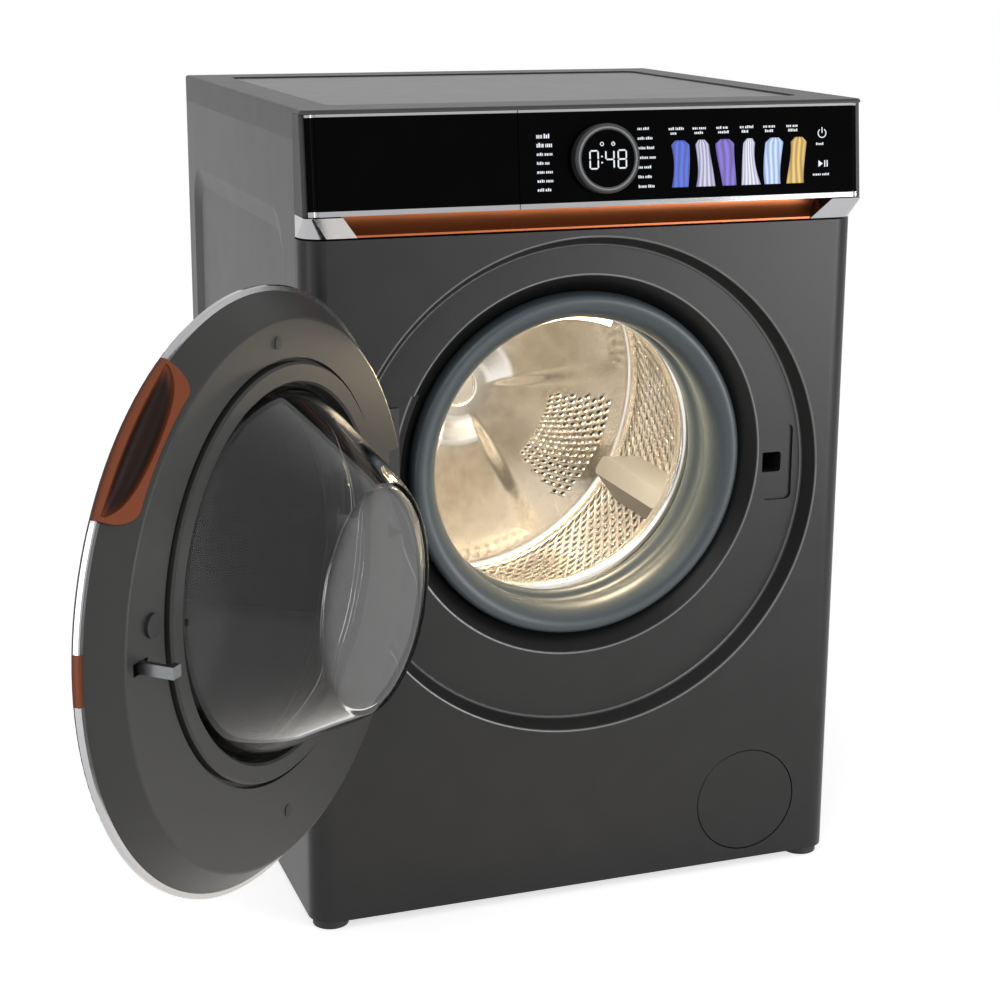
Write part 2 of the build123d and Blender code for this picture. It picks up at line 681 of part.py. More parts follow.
# Control chassis behind the glass, open to the rear, with the drawer's opening at the left
DRAWER_X0 = -PANEL_HALF
CHASSIS_TOP = CAB_H - TOP_LIP - FIT
TRAY_X0 = DRAWER_X0 + (DRAWER_SEAM_X - DRAWER_X0 - TRAY_W) / 2
TRAY_X1 = TRAY_X0 + TRAY_W
MOUTH_X0 = TRAY_X0 - PANEL_GAP
MOUTH_X1 = TRAY_X1 + PANEL_GAP
with BuildPart() as control_chassis:
    add(block(-SIDE_X, SIDE_X, FRONT_Y - PANEL_PROUD, SEAM_Y, GRIP_TOP, CHASSIS_TOP))
    add(panel_box(-CAB_W, CAB_W, -PANEL_H, 2 * PANEL_H, GLASS_T, -SEAM), mode=Mode.SUBTRACT)
    add(panel_box(-PANEL_HALF, PANEL_HALF, PANEL_WALL, PANEL_H - 2 * PANEL_WALL,
                  GLASS_T + PANEL_WALL, 2 * SEAM),
        mode=Mode.SUBTRACT)
    add(block(MOUTH_X0, MOUTH_X1, FRONT_Y - PANEL_PROUD, SEAM_Y, TRAY_FLOOR_Z - TRAY_GAP,
              TRAY_FLOOR_Z + TRAY_H + PANEL_GAP), mode=Mode.SUBTRACT)
    add(panel_disc(DIAL_BORE_R + FIT, 0, 2 * SEAM), mode=Mode.SUBTRACT)
    add(block(-SIDE_X + SEAM_FLANGE, SIDE_X - SEAM_FLANGE, FRONT_Y + GRIP_DEPTH + GRIP_SHEET + FIT, SEAM_Y,
              GRIP_LOW, GRIP_TOP))
control_chassis.part.label = "control_chassis"

# Black glass of the control side, pierced for the dial's post
with BuildPart() as control_fascia:
    add(panel_slab(DRAWER_SEAM_X + PANEL_GAP / 2, SIDE_X, 0, PANEL_H - TRIM_TOP))
    add(panel_disc(DIAL_BORE_R + FIT, -SEAM, SEAM), mode=Mode.SUBTRACT)
control_fascia.part.label = "control_fascia"

with BuildPart() as control_trim:
    add(panel_slab(DRAWER_SEAM_X + PANEL_GAP / 2, SIDE_X, -TRIM_LOW, 0, TRIM_PROUD))
    add(panel_slab(DRAWER_SEAM_X + PANEL_GAP / 2, SIDE_X, PANEL_H - TRIM_TOP, PANEL_H, TRIM_PROUD))
control_trim.part.label = "control_trim"

# Chrome corner pieces that lead from the front panel's corner out to the control panel
with BuildPart() as control_corners:
    for corner_z, proud, corner_r in ((GRIP_LOW, 0.0, CORNER_R), (GRIP_TOP - FIT, PANEL_PROUD, PANEL_END_R)):
        with BuildSketch(level(corner_z)):
            with Locations((0, -proud / 2)):
                RectangleRounded(CAB_W, CAB_D + proud, corner_r)
    loft()
    add(block(-CAB_W, CAB_W, SEAM_Y, CAB_D, 0, CAB_H), mode=Mode.SUBTRACT)
    with BuildSketch(facing(FRONT_Y + GRIP_DEPTH + GRIP_SHEET + FIT)):
        with BuildLine():
            Polyline((-GRIP_LOW_HALF, GRIP_LOW), (GRIP_LOW_HALF, GRIP_LOW), (GRIP_TOP_HALF, GRIP_TOP),
                     (-GRIP_TOP_HALF, GRIP_TOP), close=True)
        make_face()
    extrude(amount=2 * SEAM, mode=Mode.SUBTRACT)
    add(block(-SIDE_X + SEAM_FLANGE, SIDE_X - SEAM_FLANGE, FRONT_Y + GRIP_DEPTH + GRIP_SHEET + FIT, SEAM_Y,
              GRIP_LOW, GRIP_TOP), mode=Mode.SUBTRACT)
control_corners.part.label = "control_corners"

# Scooped copper-brown lining of the grip under the panel
GRIP_FRONT_Y = FRONT_Y + SHEET
GRIP_BACK_Y = FRONT_Y + GRIP_DEPTH
GRIP_MID = (GRIP_FRONT_Y + (GRIP_BACK_Y - GRIP_FRONT_Y) * sin(radians(45)),
            GRIP_LOW + (GRIP_TOP - GRIP_LOW - GRIP_SHEET) * (1 - cos(radians(45))) + GRIP_SHEET)
with BuildPart() as grip_insert:
    with BuildSketch(section(-GRIP_TOP_HALF)):
        with BuildLine():
            ThreePointArc((GRIP_FRONT_Y, GRIP_LOW + GRIP_SHEET), GRIP_MID, (GRIP_BACK_Y, GRIP_TOP - FIT))
            Polyline((GRIP_BACK_Y, GRIP_TOP - FIT), (GRIP_BACK_Y + GRIP_SHEET, GRIP_TOP - FIT),
                     (GRIP_BACK_Y + GRIP_SHEET, GRIP_LOW), (GRIP_FRONT_Y, GRIP_LOW),
                     (GRIP_FRONT_Y, GRIP_LOW + GRIP_SHEET))
        make_face()
    extrude(amount=2 * GRIP_TOP_HALF)
    with BuildSketch(facing(SEAM_Y)):
        with BuildLine():
            Polyline((FIT - GRIP_LOW_HALF, GRIP_LOW), (GRIP_LOW_HALF - FIT, GRIP_LOW),
                     (GRIP_TOP_HALF - FIT, GRIP_TOP), (FIT - GRIP_TOP_HALF, GRIP_TOP), close=True)
        make_face()
    extrude(amount=2 * SEAM, mode=Mode.INTERSECT)
grip_insert.part.label = "grip_insert"

# Display and control module: a boxed board with the round display post the dial turns on
with BuildPart() as display_module:
    add(panel_box(DIAL_X - MODULE_H / 2, DIAL_X - MODULE_H / 2 + MODULE_W, DIAL_UP - MODULE_H / 2,
                  DIAL_UP + MODULE_H / 2, GLASS_T + PANEL_WALL, GLASS_T + PANEL_WALL + MODULE_T))
    add(panel_disc(DIAL_BORE_R - RUN, -DIAL_H, GLASS_T + PANEL_WALL))
display_module.part.label = "display_module"

# Programme dial: a ring that turns round the display post
with BuildPart() as dial_ring:
    add(panel_disc(DIAL_R, -DIAL_H, -FIT))
    chamfer(edges().filter_by(GeomType.CIRCLE).sort_by(Axis.Y)[0], DIAL_EDGE)
    add(panel_disc(DIAL_BORE_R, -2 * DIAL_H, GLASS_T), mode=Mode.SUBTRACT)
dial_ring.part.label = "dial_ring"

# Dispenser housing, open at the front, and the drawer that slides in it
HOUSING_Y = SEAM_Y + FIT
HOUSING_TOP = TRAY_FLOOR_Z + TRAY_H + HOUSING_TOP_GAP
with BuildPart() as dispenser_housing:
    add(block(TRAY_X0 - TRAY_GAP - HOUSING_WALL, TRAY_X1 + TRAY_GAP + HOUSING_WALL, HOUSING_Y,
              HOUSING_Y + HOUSING_L, TRAY_FLOOR_Z - TRAY_GAP - HOUSING_WALL, HOUSING_TOP))
    add(block(TRAY_X0 - TRAY_GAP, TRAY_X1 + TRAY_GAP, HOUSING_Y, HOUSING_Y + HOUSING_L - HOUSING_WALL,
              TRAY_FLOOR_Z - TRAY_GAP, HOUSING_TOP - HOUSING_WALL), mode=Mode.SUBTRACT)
dispenser_housing.part.label = "dispenser_housing"

# Drawer tray with a main, a prewash and a softener compartment
TRAY_Y0 = FRONT_Y + TRAY_WALL_Y
TRAY_Y1 = TRAY_Y0 + TRAY_L - TRAY_WALL_Y
TRAY_CELLS = ((0.0, 0.46), (0.46, 0.73), (0.73, 1.0))
with BuildPart() as drawer_tray:
    add(block(TRAY_X0, TRAY_X1, FRONT_Y - PANEL_PROUD, TRAY_Y1, TRAY_FLOOR_Z, TRAY_FLOOR_Z + TRAY_H))
    add(panel_box(-CAB_W, CAB_W, -PANEL_H, 2 * PANEL_H, GLASS_T, -SEAM), mode=Mode.SUBTRACT)
    for cell_from, cell_to in TRAY_CELLS:
        cell_x0 = TRAY_X0 + cell_from * (TRAY_W - TRAY_WALL)
        cell_x1 = TRAY_X0 + cell_to * (TRAY_W - TRAY_WALL)
        add(block(cell_x0 + TRAY_WALL, cell_x1, TRAY_Y0, TRAY_Y1 - TRAY_WALL,
                  TRAY_FLOOR_Z + TRAY_WALL, CAB_H),
            mode=Mode.SUBTRACT)
drawer_tray.part.label = "drawer_tray"

with BuildPart() as drawer_fascia:
    add(panel_slab(-SIDE_X, DRAWER_SEAM_X - PANEL_GAP / 2, 0, PANEL_H - TRIM_TOP, thick=GLASS_T - FIT))
drawer_fascia.part.label = "drawer_fascia"

with BuildPart() as drawer_trim:
    for up0, up1 in ((-TRIM_LOW, 0), (PANEL_H - TRIM_TOP, PANEL_H)):
        add(panel_slab(-SIDE_X, DRAWER_SEAM_X - PANEL_GAP / 2, up0, up1, TRIM_PROUD, GLASS_T - FIT))
drawer_trim.part.label = "drawer_trim"

# Inlet valve at the rear with its threaded stub
VALVE_Y = REAR_Y - SHEET - VALVE_L
with BuildPart() as inlet_valve:
    add(block(INLET_X - VALVE_W / 2, INLET_X + VALVE_W / 2, VALVE_Y, REAR_Y - SHEET, INLET_Z - VALVE_W / 2,
              INLET_Z + VALVE_W / 2))
    add(barrel(INLET_X, INLET_Z, REAR_Y - SHEET, REAR_Y, INLET_R - FIT))
    add(barrel(INLET_X, INLET_Z, REAR_Y, REAR_Y + INLET_L, INLET_R))
    add(barrel(INLET_X, INLET_Z, REAR_Y - VALVE_L / 2, REAR_Y + INLET_L, INLET_R - TRAY_WALL - HOUSING_WALL),
        mode=Mode.SUBTRACT)
inlet_valve.part.label = "inlet_valve"


def tub_floor(x):
    """Height of the tub's underside at x."""
    return PORT_Z - sqrt(TUB_R ** 2 - x ** 2)


def tub_crown(x):
    """Height of the tub's upper side at x."""
    return PORT_Z + sqrt(TUB_R ** 2 - x ** 2)


# Hoses: valve to dispenser, dispenser to tub, tub to pump, and pump to the outlet at the rear
FILL_Y = TUB_Y + TUB_SPLIT / 2
SUMP_Y = TUB_Y + SUMP_HOSE_R + FIT
DRAIN_Y = PUMP_Y + PUMP_L / 2
with BuildPart() as hoses:
    add(barrel(INLET_X, INLET_Z, HOUSING_Y + HOUSING_L, VALVE_Y, HOSE_R))
    add(post(INLET_X, FILL_Y, tub_crown(INLET_X + FILL_HOSE_R) + 1,
             TRAY_FLOOR_Z - TRAY_GAP - HOUSING_WALL, FILL_HOSE_R))
    add(post(FILTER_X, SUMP_Y, FILTER_Z + PUMP_R + FIT, tub_floor(FILTER_X - SUMP_HOSE_R) - 1, SUMP_HOSE_R))
    with BuildLine() as drain_path:
        FilletPolyline(
            (FILTER_X, DRAIN_Y, FILTER_Z + PUMP_R + FIT),
            (FILTER_X, DRAIN_Y, FILTER_Z + PUMP_R + 2 * DRAIN_BEND),
            (DRAIN_X, DRAIN_Y, FILTER_Z + PUMP_R + 4 * DRAIN_BEND),
            (DRAIN_X, DRAIN_Y, DRAIN_Z),
            (DRAIN_X, REAR_Y, DRAIN_Z),
            radius=DRAIN_BEND)
    with BuildSketch(level(FILTER_Z + PUMP_R + FIT)):
        with Locations((FILTER_X, DRAIN_Y)):
            Circle(HOSE_R)
    sweep(path=drain_path.line)
    add(barrel(DRAIN_X, DRAIN_Z, REAR_Y, REAR_Y + INLET_L, DRAIN_R))
hoses.part.label = "hoses"

# Drain pump: filter mouth, flange behind the front panel and motor
with BuildPart() as drain_pump:
    add(barrel(FILTER_X, FILTER_Z, PUMP_Y, PUMP_END_Y, PUMP_R))
    add(barrel(FILTER_X, FILTER_Z, PUMP_Y, PUMP_Y + FILTER_T, PUMP_FLANGE_R))
    add(barrel(FILTER_X, FILTER_Z, FRONT_Y + SHEET, PUMP_Y + FILTER_T, PUMP_FLANGE_R))
    add(barrel(FILTER_X, FILTER_Z, FRONT_Y + SHEET, PUMP_Y, FILTER_R + FILTER_GAP), mode=Mode.SUBTRACT)
    add(barrel(FILTER_X, FILTER_Z, PUMP_Y, PUMP_END_Y - PUMP_WALL, PUMP_R - PUMP_WALL), mode=Mode.SUBTRACT)
    add(barrel(FILTER_X, FILTER_Z, PUMP_END_Y, PUMP_END_Y + PUMP_MOTOR_L, PUMP_MOTOR_R))
drain_pump.part.label = "drain_pump"

# Pump filter: plug with a bar to turn it by, and its cage
PLUG_Y1 = PUMP_Y + PLUG_BODY_L
with BuildPart() as pump_filter:
    add(barrel(FILTER_X, FILTER_Z, PUMP_Y, PLUG_Y1, PUMP_R - PUMP_WALL - RUN))
    add(block(FILTER_X - CAGE_R, FILTER_X + CAGE_R, PUMP_Y - KNOB_L, PUMP_Y, FILTER_Z - KNOB_L / 2,
              FILTER_Z + KNOB_L / 2))
    add(barrel(FILTER_X, FILTER_Z, PLUG_Y1, PLUG_Y1 + CAGE_L, CAGE_R))
    add(barrel(FILTER_X, FILTER_Z, PLUG_Y1, PLUG_Y1 + CAGE_L, CAGE_R - PUMP_WALL / 2), mode=Mode.SUBTRACT)
pump_filter.part.label = "pump_filter"

# Round filter cover, flush in the front panel, with clips on its back
with BuildPart() as filter_cover:
    add(barrel(FILTER_X, FILTER_Z, FRONT_Y, FRONT_Y + FILTER_T, FILTER_R))
    chamfer(edges().sort_by(Axis.Y)[0], FILTER_GAP)
    with BuildSketch(facing(FRONT_Y + FILTER_T)):
        with Locations((FILTER_X, FILTER_Z)):
            with PolarLocations(FILTER_CLIP_R, FILTER_CLIPS, start_angle=90):
                Rectangle(FILTER_T, FILTER_CLIP_W)
    extrude(amount=-FILTER_CLIP_L)
filter_cover.part.label = "filter_cover"

# Door lock behind the latch slot, hollow for the hook
LOCK_Y = RING_Y + LATCH_POCKET_DEPTH + SHEET
with BuildPart() as door_lock:
    add(tile(LATCH_X, LATCH_Z, LOCK_Y, LOCK_Y + LOCK_L, LATCH_SLOT_W + 4 * LOCK_WALL,
             LATCH_SLOT_H + 4 * LOCK_WALL, LOCK_WALL))
    add(tile(LATCH_X, LATCH_Z, LOCK_Y, LOCK_Y + LOCK_L - LOCK_WALL, LATCH_SLOT_W + 2 * LOCK_WALL,
             LATCH_SLOT_H + LOCK_WALL, LOCK_WALL / 2), mode=Mode.SUBTRACT)
door_lock.part.label = "door_lock"

# Hinge bracket on the pocket floor, with two goose-neck lugs that carry the pin
LUG_Z = HINGE_BARREL_H / 2 + HINGE_LUG_GAP
POCKET_FLOOR_Y = RING_Y + HINGE_POCKET_DEPTH
with BuildPart() as hinge_bracket:
    add(block(HINGE_PLATE_X0, HINGE_PLATE_X1, POCKET_FLOOR_Y - HINGE_PLATE_T, POCKET_FLOOR_Y,
              HINGE_Z - 2 * LUG_Z, HINGE_Z + 2 * LUG_Z))
    for screw_z in (HINGE_Z - 3 * LUG_Z / 2, HINGE_Z + 3 * LUG_Z / 2):
        add(barrel(HINGE_PLATE_X1 - 3 * HINGE_SCREW_R / 2, screw_z,
                   POCKET_FLOOR_Y - HINGE_PLATE_T - HINGE_SCREW_H, POCKET_FLOOR_Y, HINGE_SCREW_R))
    for lug_z in (HINGE_Z - LUG_Z - HINGE_LUG_T, HINGE_Z + LUG_Z):
        with BuildSketch(level(lug_z)):
            with Locations((HINGE_X, HINGE_Y)):
                Circle(HINGE_BARREL_R)
            with Locations((HINGE_LEG_X, HINGE_Y + HINGE_LEG_W / 2)):
                Circle(HINGE_LEG_W / 2)
            make_hull()
            with Locations((HINGE_LEG_X, (HINGE_Y + HINGE_LEG_W / 2 + POCKET_FLOOR_Y) / 2)):
                Rectangle(HINGE_LEG_W, POCKET_FLOOR_Y - HINGE_Y - HINGE_LEG_W / 2)
        extrude(amount=HINGE_LUG_T)
    add(post(HINGE_X, HINGE_Y, 0, CAB_H, HINGE_PIN_R), mode=Mode.SUBTRACT)
hinge_bracket.part.label = "hinge_bracket"

PIN_Z = LUG_Z + HINGE_LUG_T
with BuildPart() as hinge_pin:
    add(post(HINGE_X, HINGE_Y, HINGE_Z - PIN_Z, HINGE_Z + PIN_Z, HINGE_PIN_R))
    add(post(HINGE_X, HINGE_Y, HINGE_Z + PIN_Z, HINGE_Z + PIN_Z + HINGE_PIN_R / 2,
             HINGE_PIN_R + HINGE_PIN_R / 2))
hinge_pin.part.label = "hinge_pin"

# Screws of the rear service cover and of the top cover's rear edge
with BuildPart() as cabinet_screws:
    for side in (-1, 1):
        for rise in (-0.5, 0.0, 0.5):
            screw_z = SERVICE_Z + rise * (SERVICE_H - 2 * SERVICE_R)
            add(barrel(side * (SERVICE_W / 2 + SERVICE_LAP / 2), screw_z,
                       REAR_Y + SHEET, REAR_Y + SHEET + SCREW_H,
                       SCREW_R))
        add(barrel(side * INSET_X, SKIRT_Z + TOP_SKIRT / 2, REAR_Y, REAR_Y + SCREW_H, SCREW_R))
cabinet_screws.part.label = "cabinet_screws"

# Gland for the mains lead in the rear panel
with BuildPart() as mains_gland:
    add(barrel(GLAND_X, GLAND_Z, REAR_Y - 4 * SHEET, REAR_Y, GLAND_R))
    add(barrel(GLAND_X, GLAND_Z, REAR_Y, REAR_Y + 4 * SHEET, GLAND_R + 2 * SHEET))
    add(barrel(GLAND_X, GLAND_Z, REAR_Y - 4 * SHEET, REAR_Y + 4 * SHEET, GLAND_BORE_R), mode=Mode.SUBTRACT)
mains_gland.part.label = "mains_gland"

# Suspension: two springs under the cross brace, two dampers on the base tray
SPRING_Y = BRACE_Y + BRACE_W / 2
with BuildPart() as suspension_springs:
    for side in (-1, 1):
        add(post(side * SPRING_X, SPRING_Y, SPRING_LUG_Z + FIT, SKIRT_Z - BRACE_H, SPRING_R))
        add(post(side * SPRING_X, SPRING_Y, SPRING_LUG_Z, SKIRT_Z, SPRING_R - SPRING_WIRE),
            mode=Mode.SUBTRACT)
suspension_springs.part.label = "suspension_springs"

DAMPER_TOP = BASE_Z + BASE_WALL + DAMPER_H
ROD_TOP = tub_floor(DAMPER_X)
with BuildPart() as damper_cylinders:
    for side in (-1, 1):
        add(post(side * DAMPER_X, DAMPER_Y, BASE_Z + BASE_WALL, DAMPER_TOP, DAMPER_R))
        add(post(side * DAMPER_X, DAMPER_Y, BASE_Z + BASE_WALL + DAMPER_R, DAMPER_TOP, DAMPER_ROD_R + RUN),
            mode=Mode.SUBTRACT)
damper_cylinders.part.label = "damper_cylinders"

with BuildPart() as damper_rods:
    for side in (-1, 1):
        add(post(side * DAMPER_X, DAMPER_Y, BASE_Z + BASE_WALL + DAMPER_H / 3, ROD_TOP, DAMPER_ROD_R))
        add(post(side * DAMPER_X, DAMPER_Y, ROD_TOP - 2 * DAMPER_R, ROD_TOP + DAMPER_R, DAMPER_R))
    add(barrel(0, PORT_Z, TUB_Y, TUB_END_Y, TUB_R), mode=Mode.SUBTRACT)
damper_rods.part.label = "damper_rods"

# Rubber door gasket: crest that the door presses on, lip for the glass bowl, one fold, tail in the tub's neck
GASKET_HALF = GASKET_WALL / 2
CREST_Y = LIP_Y + GASKET_GAP + GASKET_HALF
TAIL_Y = TUB_Y - FIT
THROAT_Y = CREST_Y + (TAIL_Y - CREST_Y) * 2 / 3
with BuildPart() as gasket:
    with BuildSketch(radial(PORT_Z)):
        with BuildLine():
            FilletPolyline(
                (MOUTH_Y + MOUTH_FLANGE, MOUTH_R - FIT - GASKET_HALF),
                (CREST_Y, MOUTH_R - FIT - GASKET_HALF),
                (CREST_Y, GASKET_CREST_R),
                (MOUTH_Y + GASKET_GAP, GASKET_LIP_R),
                (MOUTH_Y + 2 * MOUTH_FLANGE, GASKET_LIP_R + GASKET_HALF),
                (THROAT_Y - 3 * MOUTH_FLANGE / 2, GASKET_FOLD_R),
                (THROAT_Y - MOUTH_FLANGE / 4, GASKET_FOLD_R),
                (THROAT_Y + MOUTH_FLANGE / 4, GASKET_THROAT_R),
                (TAIL_Y - NECK_L, GASKET_THROAT_R),
                (TAIL_Y - NECK_L / 2, NECK_R - FIT - GASKET_HALF),
                (TAIL_Y, NECK_R - FIT - GASKET_HALF),
                radius=GASKET_WALL * 0.9)
            offset(amount=GASKET_HALF)
        make_face()
    revolve(axis=depth_axis(PORT_Z))
gasket.part.label = "gasket"

# Drum lamp on the gasket's throat
with BuildPart() as drum_lamp:
    add(ring(TAIL_Y - NECK_L - LAMP_L, TAIL_Y - NECK_L, LAMP_R, GASKET_THROAT_R - GASKET_HALF - FIT, PORT_Z,
             to_angle=LAMP_TO, arc=LAMP_TO - LAMP_FROM))
drum_lamp.part.label = "drum_lamp"

# Tub halves, joined at a rim
with BuildPart() as tub_front_half:
    add(turned_sheet(
        [(TUB_Y - NECK_L, NECK_R + TUB_WALL), (TUB_Y, NECK_R + TUB_WALL), (TUB_Y, TUB_R), (SPLIT_Y, TUB_R)],
        PORT_Z, TUB_WALL, TUB_WALL, Side.RIGHT))
    add(ring(SPLIT_Y - TUB_RIM_T, SPLIT_Y, TUB_R - TUB_WALL / 2, TUB_R + TUB_RIM, PORT_Z))
tub_front_half.part.label = "tub_front_half"

LUG_ROOT_X = sqrt(TUB_R ** 2 - (SPRING_LUG_Z - PORT_Z) ** 2) - TUB_RIM
with BuildPart() as tub_rear_half:
    add(turned_sheet([(SPLIT_Y, TUB_R), (TUB_END_Y, TUB_R), (TUB_END_Y, BEARING_HOUSE_R - TUB_WALL)],
                     PORT_Z, 2 * TUB_WALL, TUB_WALL, Side.RIGHT))
    add(ring(SPLIT_Y, SPLIT_Y + TUB_RIM_T, TUB_R - TUB_WALL / 2, TUB_R + TUB_RIM, PORT_Z))
    add(barrel(0, PORT_Z, TUB_END_Y - TUB_WALL, HOUSE_END_Y, BEARING_HOUSE_R))
    for side in (-1, 1):
        lug_ends = sorted((side * LUG_ROOT_X, side * (SPRING_X + SPRING_R)))
        add(block(lug_ends[0], lug_ends[1], SPRING_Y - SPRING_R, SPRING_Y + SPRING_R,
                  SPRING_LUG_Z - SPRING_LUG_T, SPRING_LUG_Z))
    add(barrel(0, PORT_Z, SPLIT_Y, TUB_END_Y - TUB_WALL, TUB_R - TUB_WALL), mode=Mode.SUBTRACT)
    add(barrel(0, PORT_Z, TUB_END_Y, HOUSE_END_Y, BEARING_R), mode=Mode.SUBTRACT)
    add(barrel(0, PORT_Z, SPLIT_Y, HOUSE_END_Y, SHAFT_R + TUB_WALL), mode=Mode.SUBTRACT)
tub_rear_half.part.label = "tub_rear_half"

# Two ball-bearing cartridges in the tub's rear hub
with BuildPart() as drum_bearings:
    for bearing_y in (TUB_END_Y, HOUSE_END_Y - BEARING_T):
        add(barrel(0, PORT_Z, bearing_y, bearing_y + BEARING_T, BEARING_R))
    add(barrel(0, PORT_Z, TUB_END_Y, HOUSE_END_Y, SHAFT_R + RUN), mode=Mode.SUBTRACT)
drum_bearings.part.label = "drum_bearings"

# Counterweights above and below the mouth and on top of the tub
WEIGHT_Y = TUB_Y - WEIGHT_T
TOP_WEIGHT_Y = SPLIT_Y - TOP_WEIGHT_L / 2
with BuildPart() as counterweights:
    for place in WEIGHT_PLACES:
        add(ring(WEIGHT_Y, TUB_Y, WEIGHT_IN_R, WEIGHT_R, PORT_Z, to_angle=place + WEIGHT_ARC / 2,
                 arc=WEIGHT_ARC))
    add(block(TOP_WEIGHT_X0, TOP_WEIGHT_X1, TOP_WEIGHT_Y, TOP_WEIGHT_Y + TOP_WEIGHT_L, PORT_Z, TOP_WEIGHT_Z))
    add(barrel(0, PORT_Z, TUB_Y, TUB_END_Y, TUB_R + TUB_RIM), mode=Mode.SUBTRACT)
counterweights.part.label = "counterweights"

# Motor under the tub, hung from it by a saddle, and to the left where the base leaves it no room below
MOTOR_REACH = TUB_R + MOTOR_R + MOTOR_HANG
MOTOR_Z = max(PORT_Z - MOTOR_REACH, BASE_Z + BASE_WALL + MOTOR_LIFT + MOTOR_R)
MOTOR_X = -sqrt(max(0.0, MOTOR_REACH ** 2 - (PORT_Z - MOTOR_Z) ** 2))
MOTOR_END_Y = HOUSE_END_Y - PULLEY_GAP
MOTOR_Y = MOTOR_END_Y - MOTOR_L
with BuildPart() as motor_body:
    add(block(MOTOR_X - MOTOR_R / 2, MOTOR_X + MOTOR_R / 2, SPLIT_Y + TUB_RIM_T, TUB_END_Y - TUB_RIM,
              MOTOR_Z, PORT_Z - TUB_R / 2))
    add(barrel(0, PORT_Z, TUB_Y, HOUSE_END_Y, TUB_R), mode=Mode.SUBTRACT)
    add(barrel(MOTOR_X, MOTOR_Z, MOTOR_Y, MOTOR_END_Y, MOTOR_R))
    add(barrel(MOTOR_X, MOTOR_Z, MOTOR_Y + MOTOR_L / 2, MOTOR_END_Y, MOTOR_SHAFT_R + RUN), mode=Mode.SUBTRACT)
motor_body.part.label = "motor_body"

# Motor shaft with its belt pulley
with BuildPart() as motor_pulley:
    add(barrel(MOTOR_X, MOTOR_Z, MOTOR_Y + MOTOR_L / 2 + PULLEY_GAP, PULLEY_END_Y, MOTOR_SHAFT_R))
    add(barrel(MOTOR_X, MOTOR_Z, PULLEY_Y, PULLEY_END_Y, MOTOR_PULLEY_R))
motor_pulley.part.label = "motor_pulley"

# Drive belt round both pulleys
with BuildPart() as drive_belt:
    for out, mode in ((FIT + BELT_T, Mode.ADD), (FIT, Mode.SUBTRACT)):
        with BuildSketch(facing(PULLEY_Y + FIT)):
            with Locations((0, PORT_Z)):
                Circle(PULLEY_R + out)
            with Locations((MOTOR_X, MOTOR_Z)):
                Circle(MOTOR_PULLEY_R + out)
            make_hull()
        extrude(amount=2 * FIT - PULLEY_T, mode=mode)
drive_belt.part.label = "drive_belt"

# Heater loop between drum and tub
HEATER_Z = PORT_Z - (DRUM_R + TUB_R - TUB_WALL) / 2
HEATER_Y = TUB_END_Y - TUB_WALL - HEATER_L
with BuildPart() as heater:
    for side in (-1, 1):
        add(barrel(side * HEATER_SPAN / 2, HEATER_Z, HEATER_Y, TUB_END_Y - TUB_WALL - FIT, HEATER_R))
    add(block(-HEATER_SPAN / 2, HEATER_SPAN / 2, HEATER_Y, HEATER_Y + 2 * HEATER_R, HEATER_Z - HEATER_R / 2,
              HEATER_Z + HEATER_R / 2))
    add(block(-HEATER_SPAN * 0.6, HEATER_SPAN * 0.6, TUB_END_Y - TUB_WALL - 2 * HEATER_R,
              TUB_END_Y - TUB_WALL - FIT, HEATER_Z - HEATER_R, HEATER_Z + HEATER_R))
heater.part.label = "heater"

# Drum shell: rolled mouth, beaded wall and back
with BuildPart() as drum_shell:
    add(turned_sheet(
        [(DRUM_Y + DRUM_GAP, DRUM_MOUTH_R), (DRUM_Y, DRUM_MOUTH_R + DRUM_GAP),
         (DRUM_Y, DRUM_R - 2 * DRUM_GAP),
         (DRUM_Y + 2 * DRUM_GAP, DRUM_R), (DRUM_END_Y, DRUM_R), (DRUM_END_Y, SHAFT_R)],
        PORT_Z, DRUM_GAP / 2, DRUM_WALL, Side.RIGHT))
    for bead in range(DRUM_BEADS):
        bead_y = DRUM_Y + DRUM_L * (bead + 1) / (DRUM_BEADS + 1)
        for out, mode in ((DRUM_BEAD_H, Mode.ADD), (0.0, Mode.SUBTRACT)):
            low = DRUM_R - DRUM_WALL - (0.0 if out else DRUM_BEAD_H)
            high = DRUM_R + out if out else DRUM_R - DRUM_WALL
            add(turned([(bead_y - DRUM_BEAD_W / 2, low), (bead_y + DRUM_BEAD_W / 2, low),
                        (bead_y + DRUM_BEAD_W / 4, high), (bead_y - DRUM_BEAD_W / 4, high)], PORT_Z),
                mode=mode)
drum_shell.part.label = "drum_shell"

# Lifters inside the drum, hollowed to sit on its wall
LIFTER_SEAT = sqrt((DRUM_R - DRUM_WALL) ** 2 - (LIFTER_W / 2) ** 2)
LIFTER_Y = (DRUM_Y + DRUM_END_Y) / 2
with BuildPart() as drum_lifters:
    for lifter in range(LIFTERS):
        turn = radians(90 + 360 * lifter / LIFTERS)
        out = Vector(cos(turn), 0, sin(turn))
        seat = Plane(Vector(0, LIFTER_Y, PORT_Z) + out * LIFTER_SEAT, x_dir=(0, 1, 0), z_dir=-out)
        with BuildSketch(seat):
            RectangleRounded(LIFTER_L, LIFTER_W, LIFTER_W / 3)
        extrude(amount=LIFTER_SEAT - DRUM_R)
        with BuildSketch(seat):
            RectangleRounded(LIFTER_L, LIFTER_W, LIFTER_W / 3)
        with BuildSketch(seat.offset(LIFTER_H)):
            RectangleRounded(LIFTER_L - LIFTER_H, LIFTER_TIP, LIFTER_TIP / 3)
        loft()
    add(barrel(0, PORT_Z, DRUM_Y, DRUM_END_Y, DRUM_R - DRUM_WALL), mode=Mode.INTERSECT)
drum_lifters.part.label = "drum_lifters"

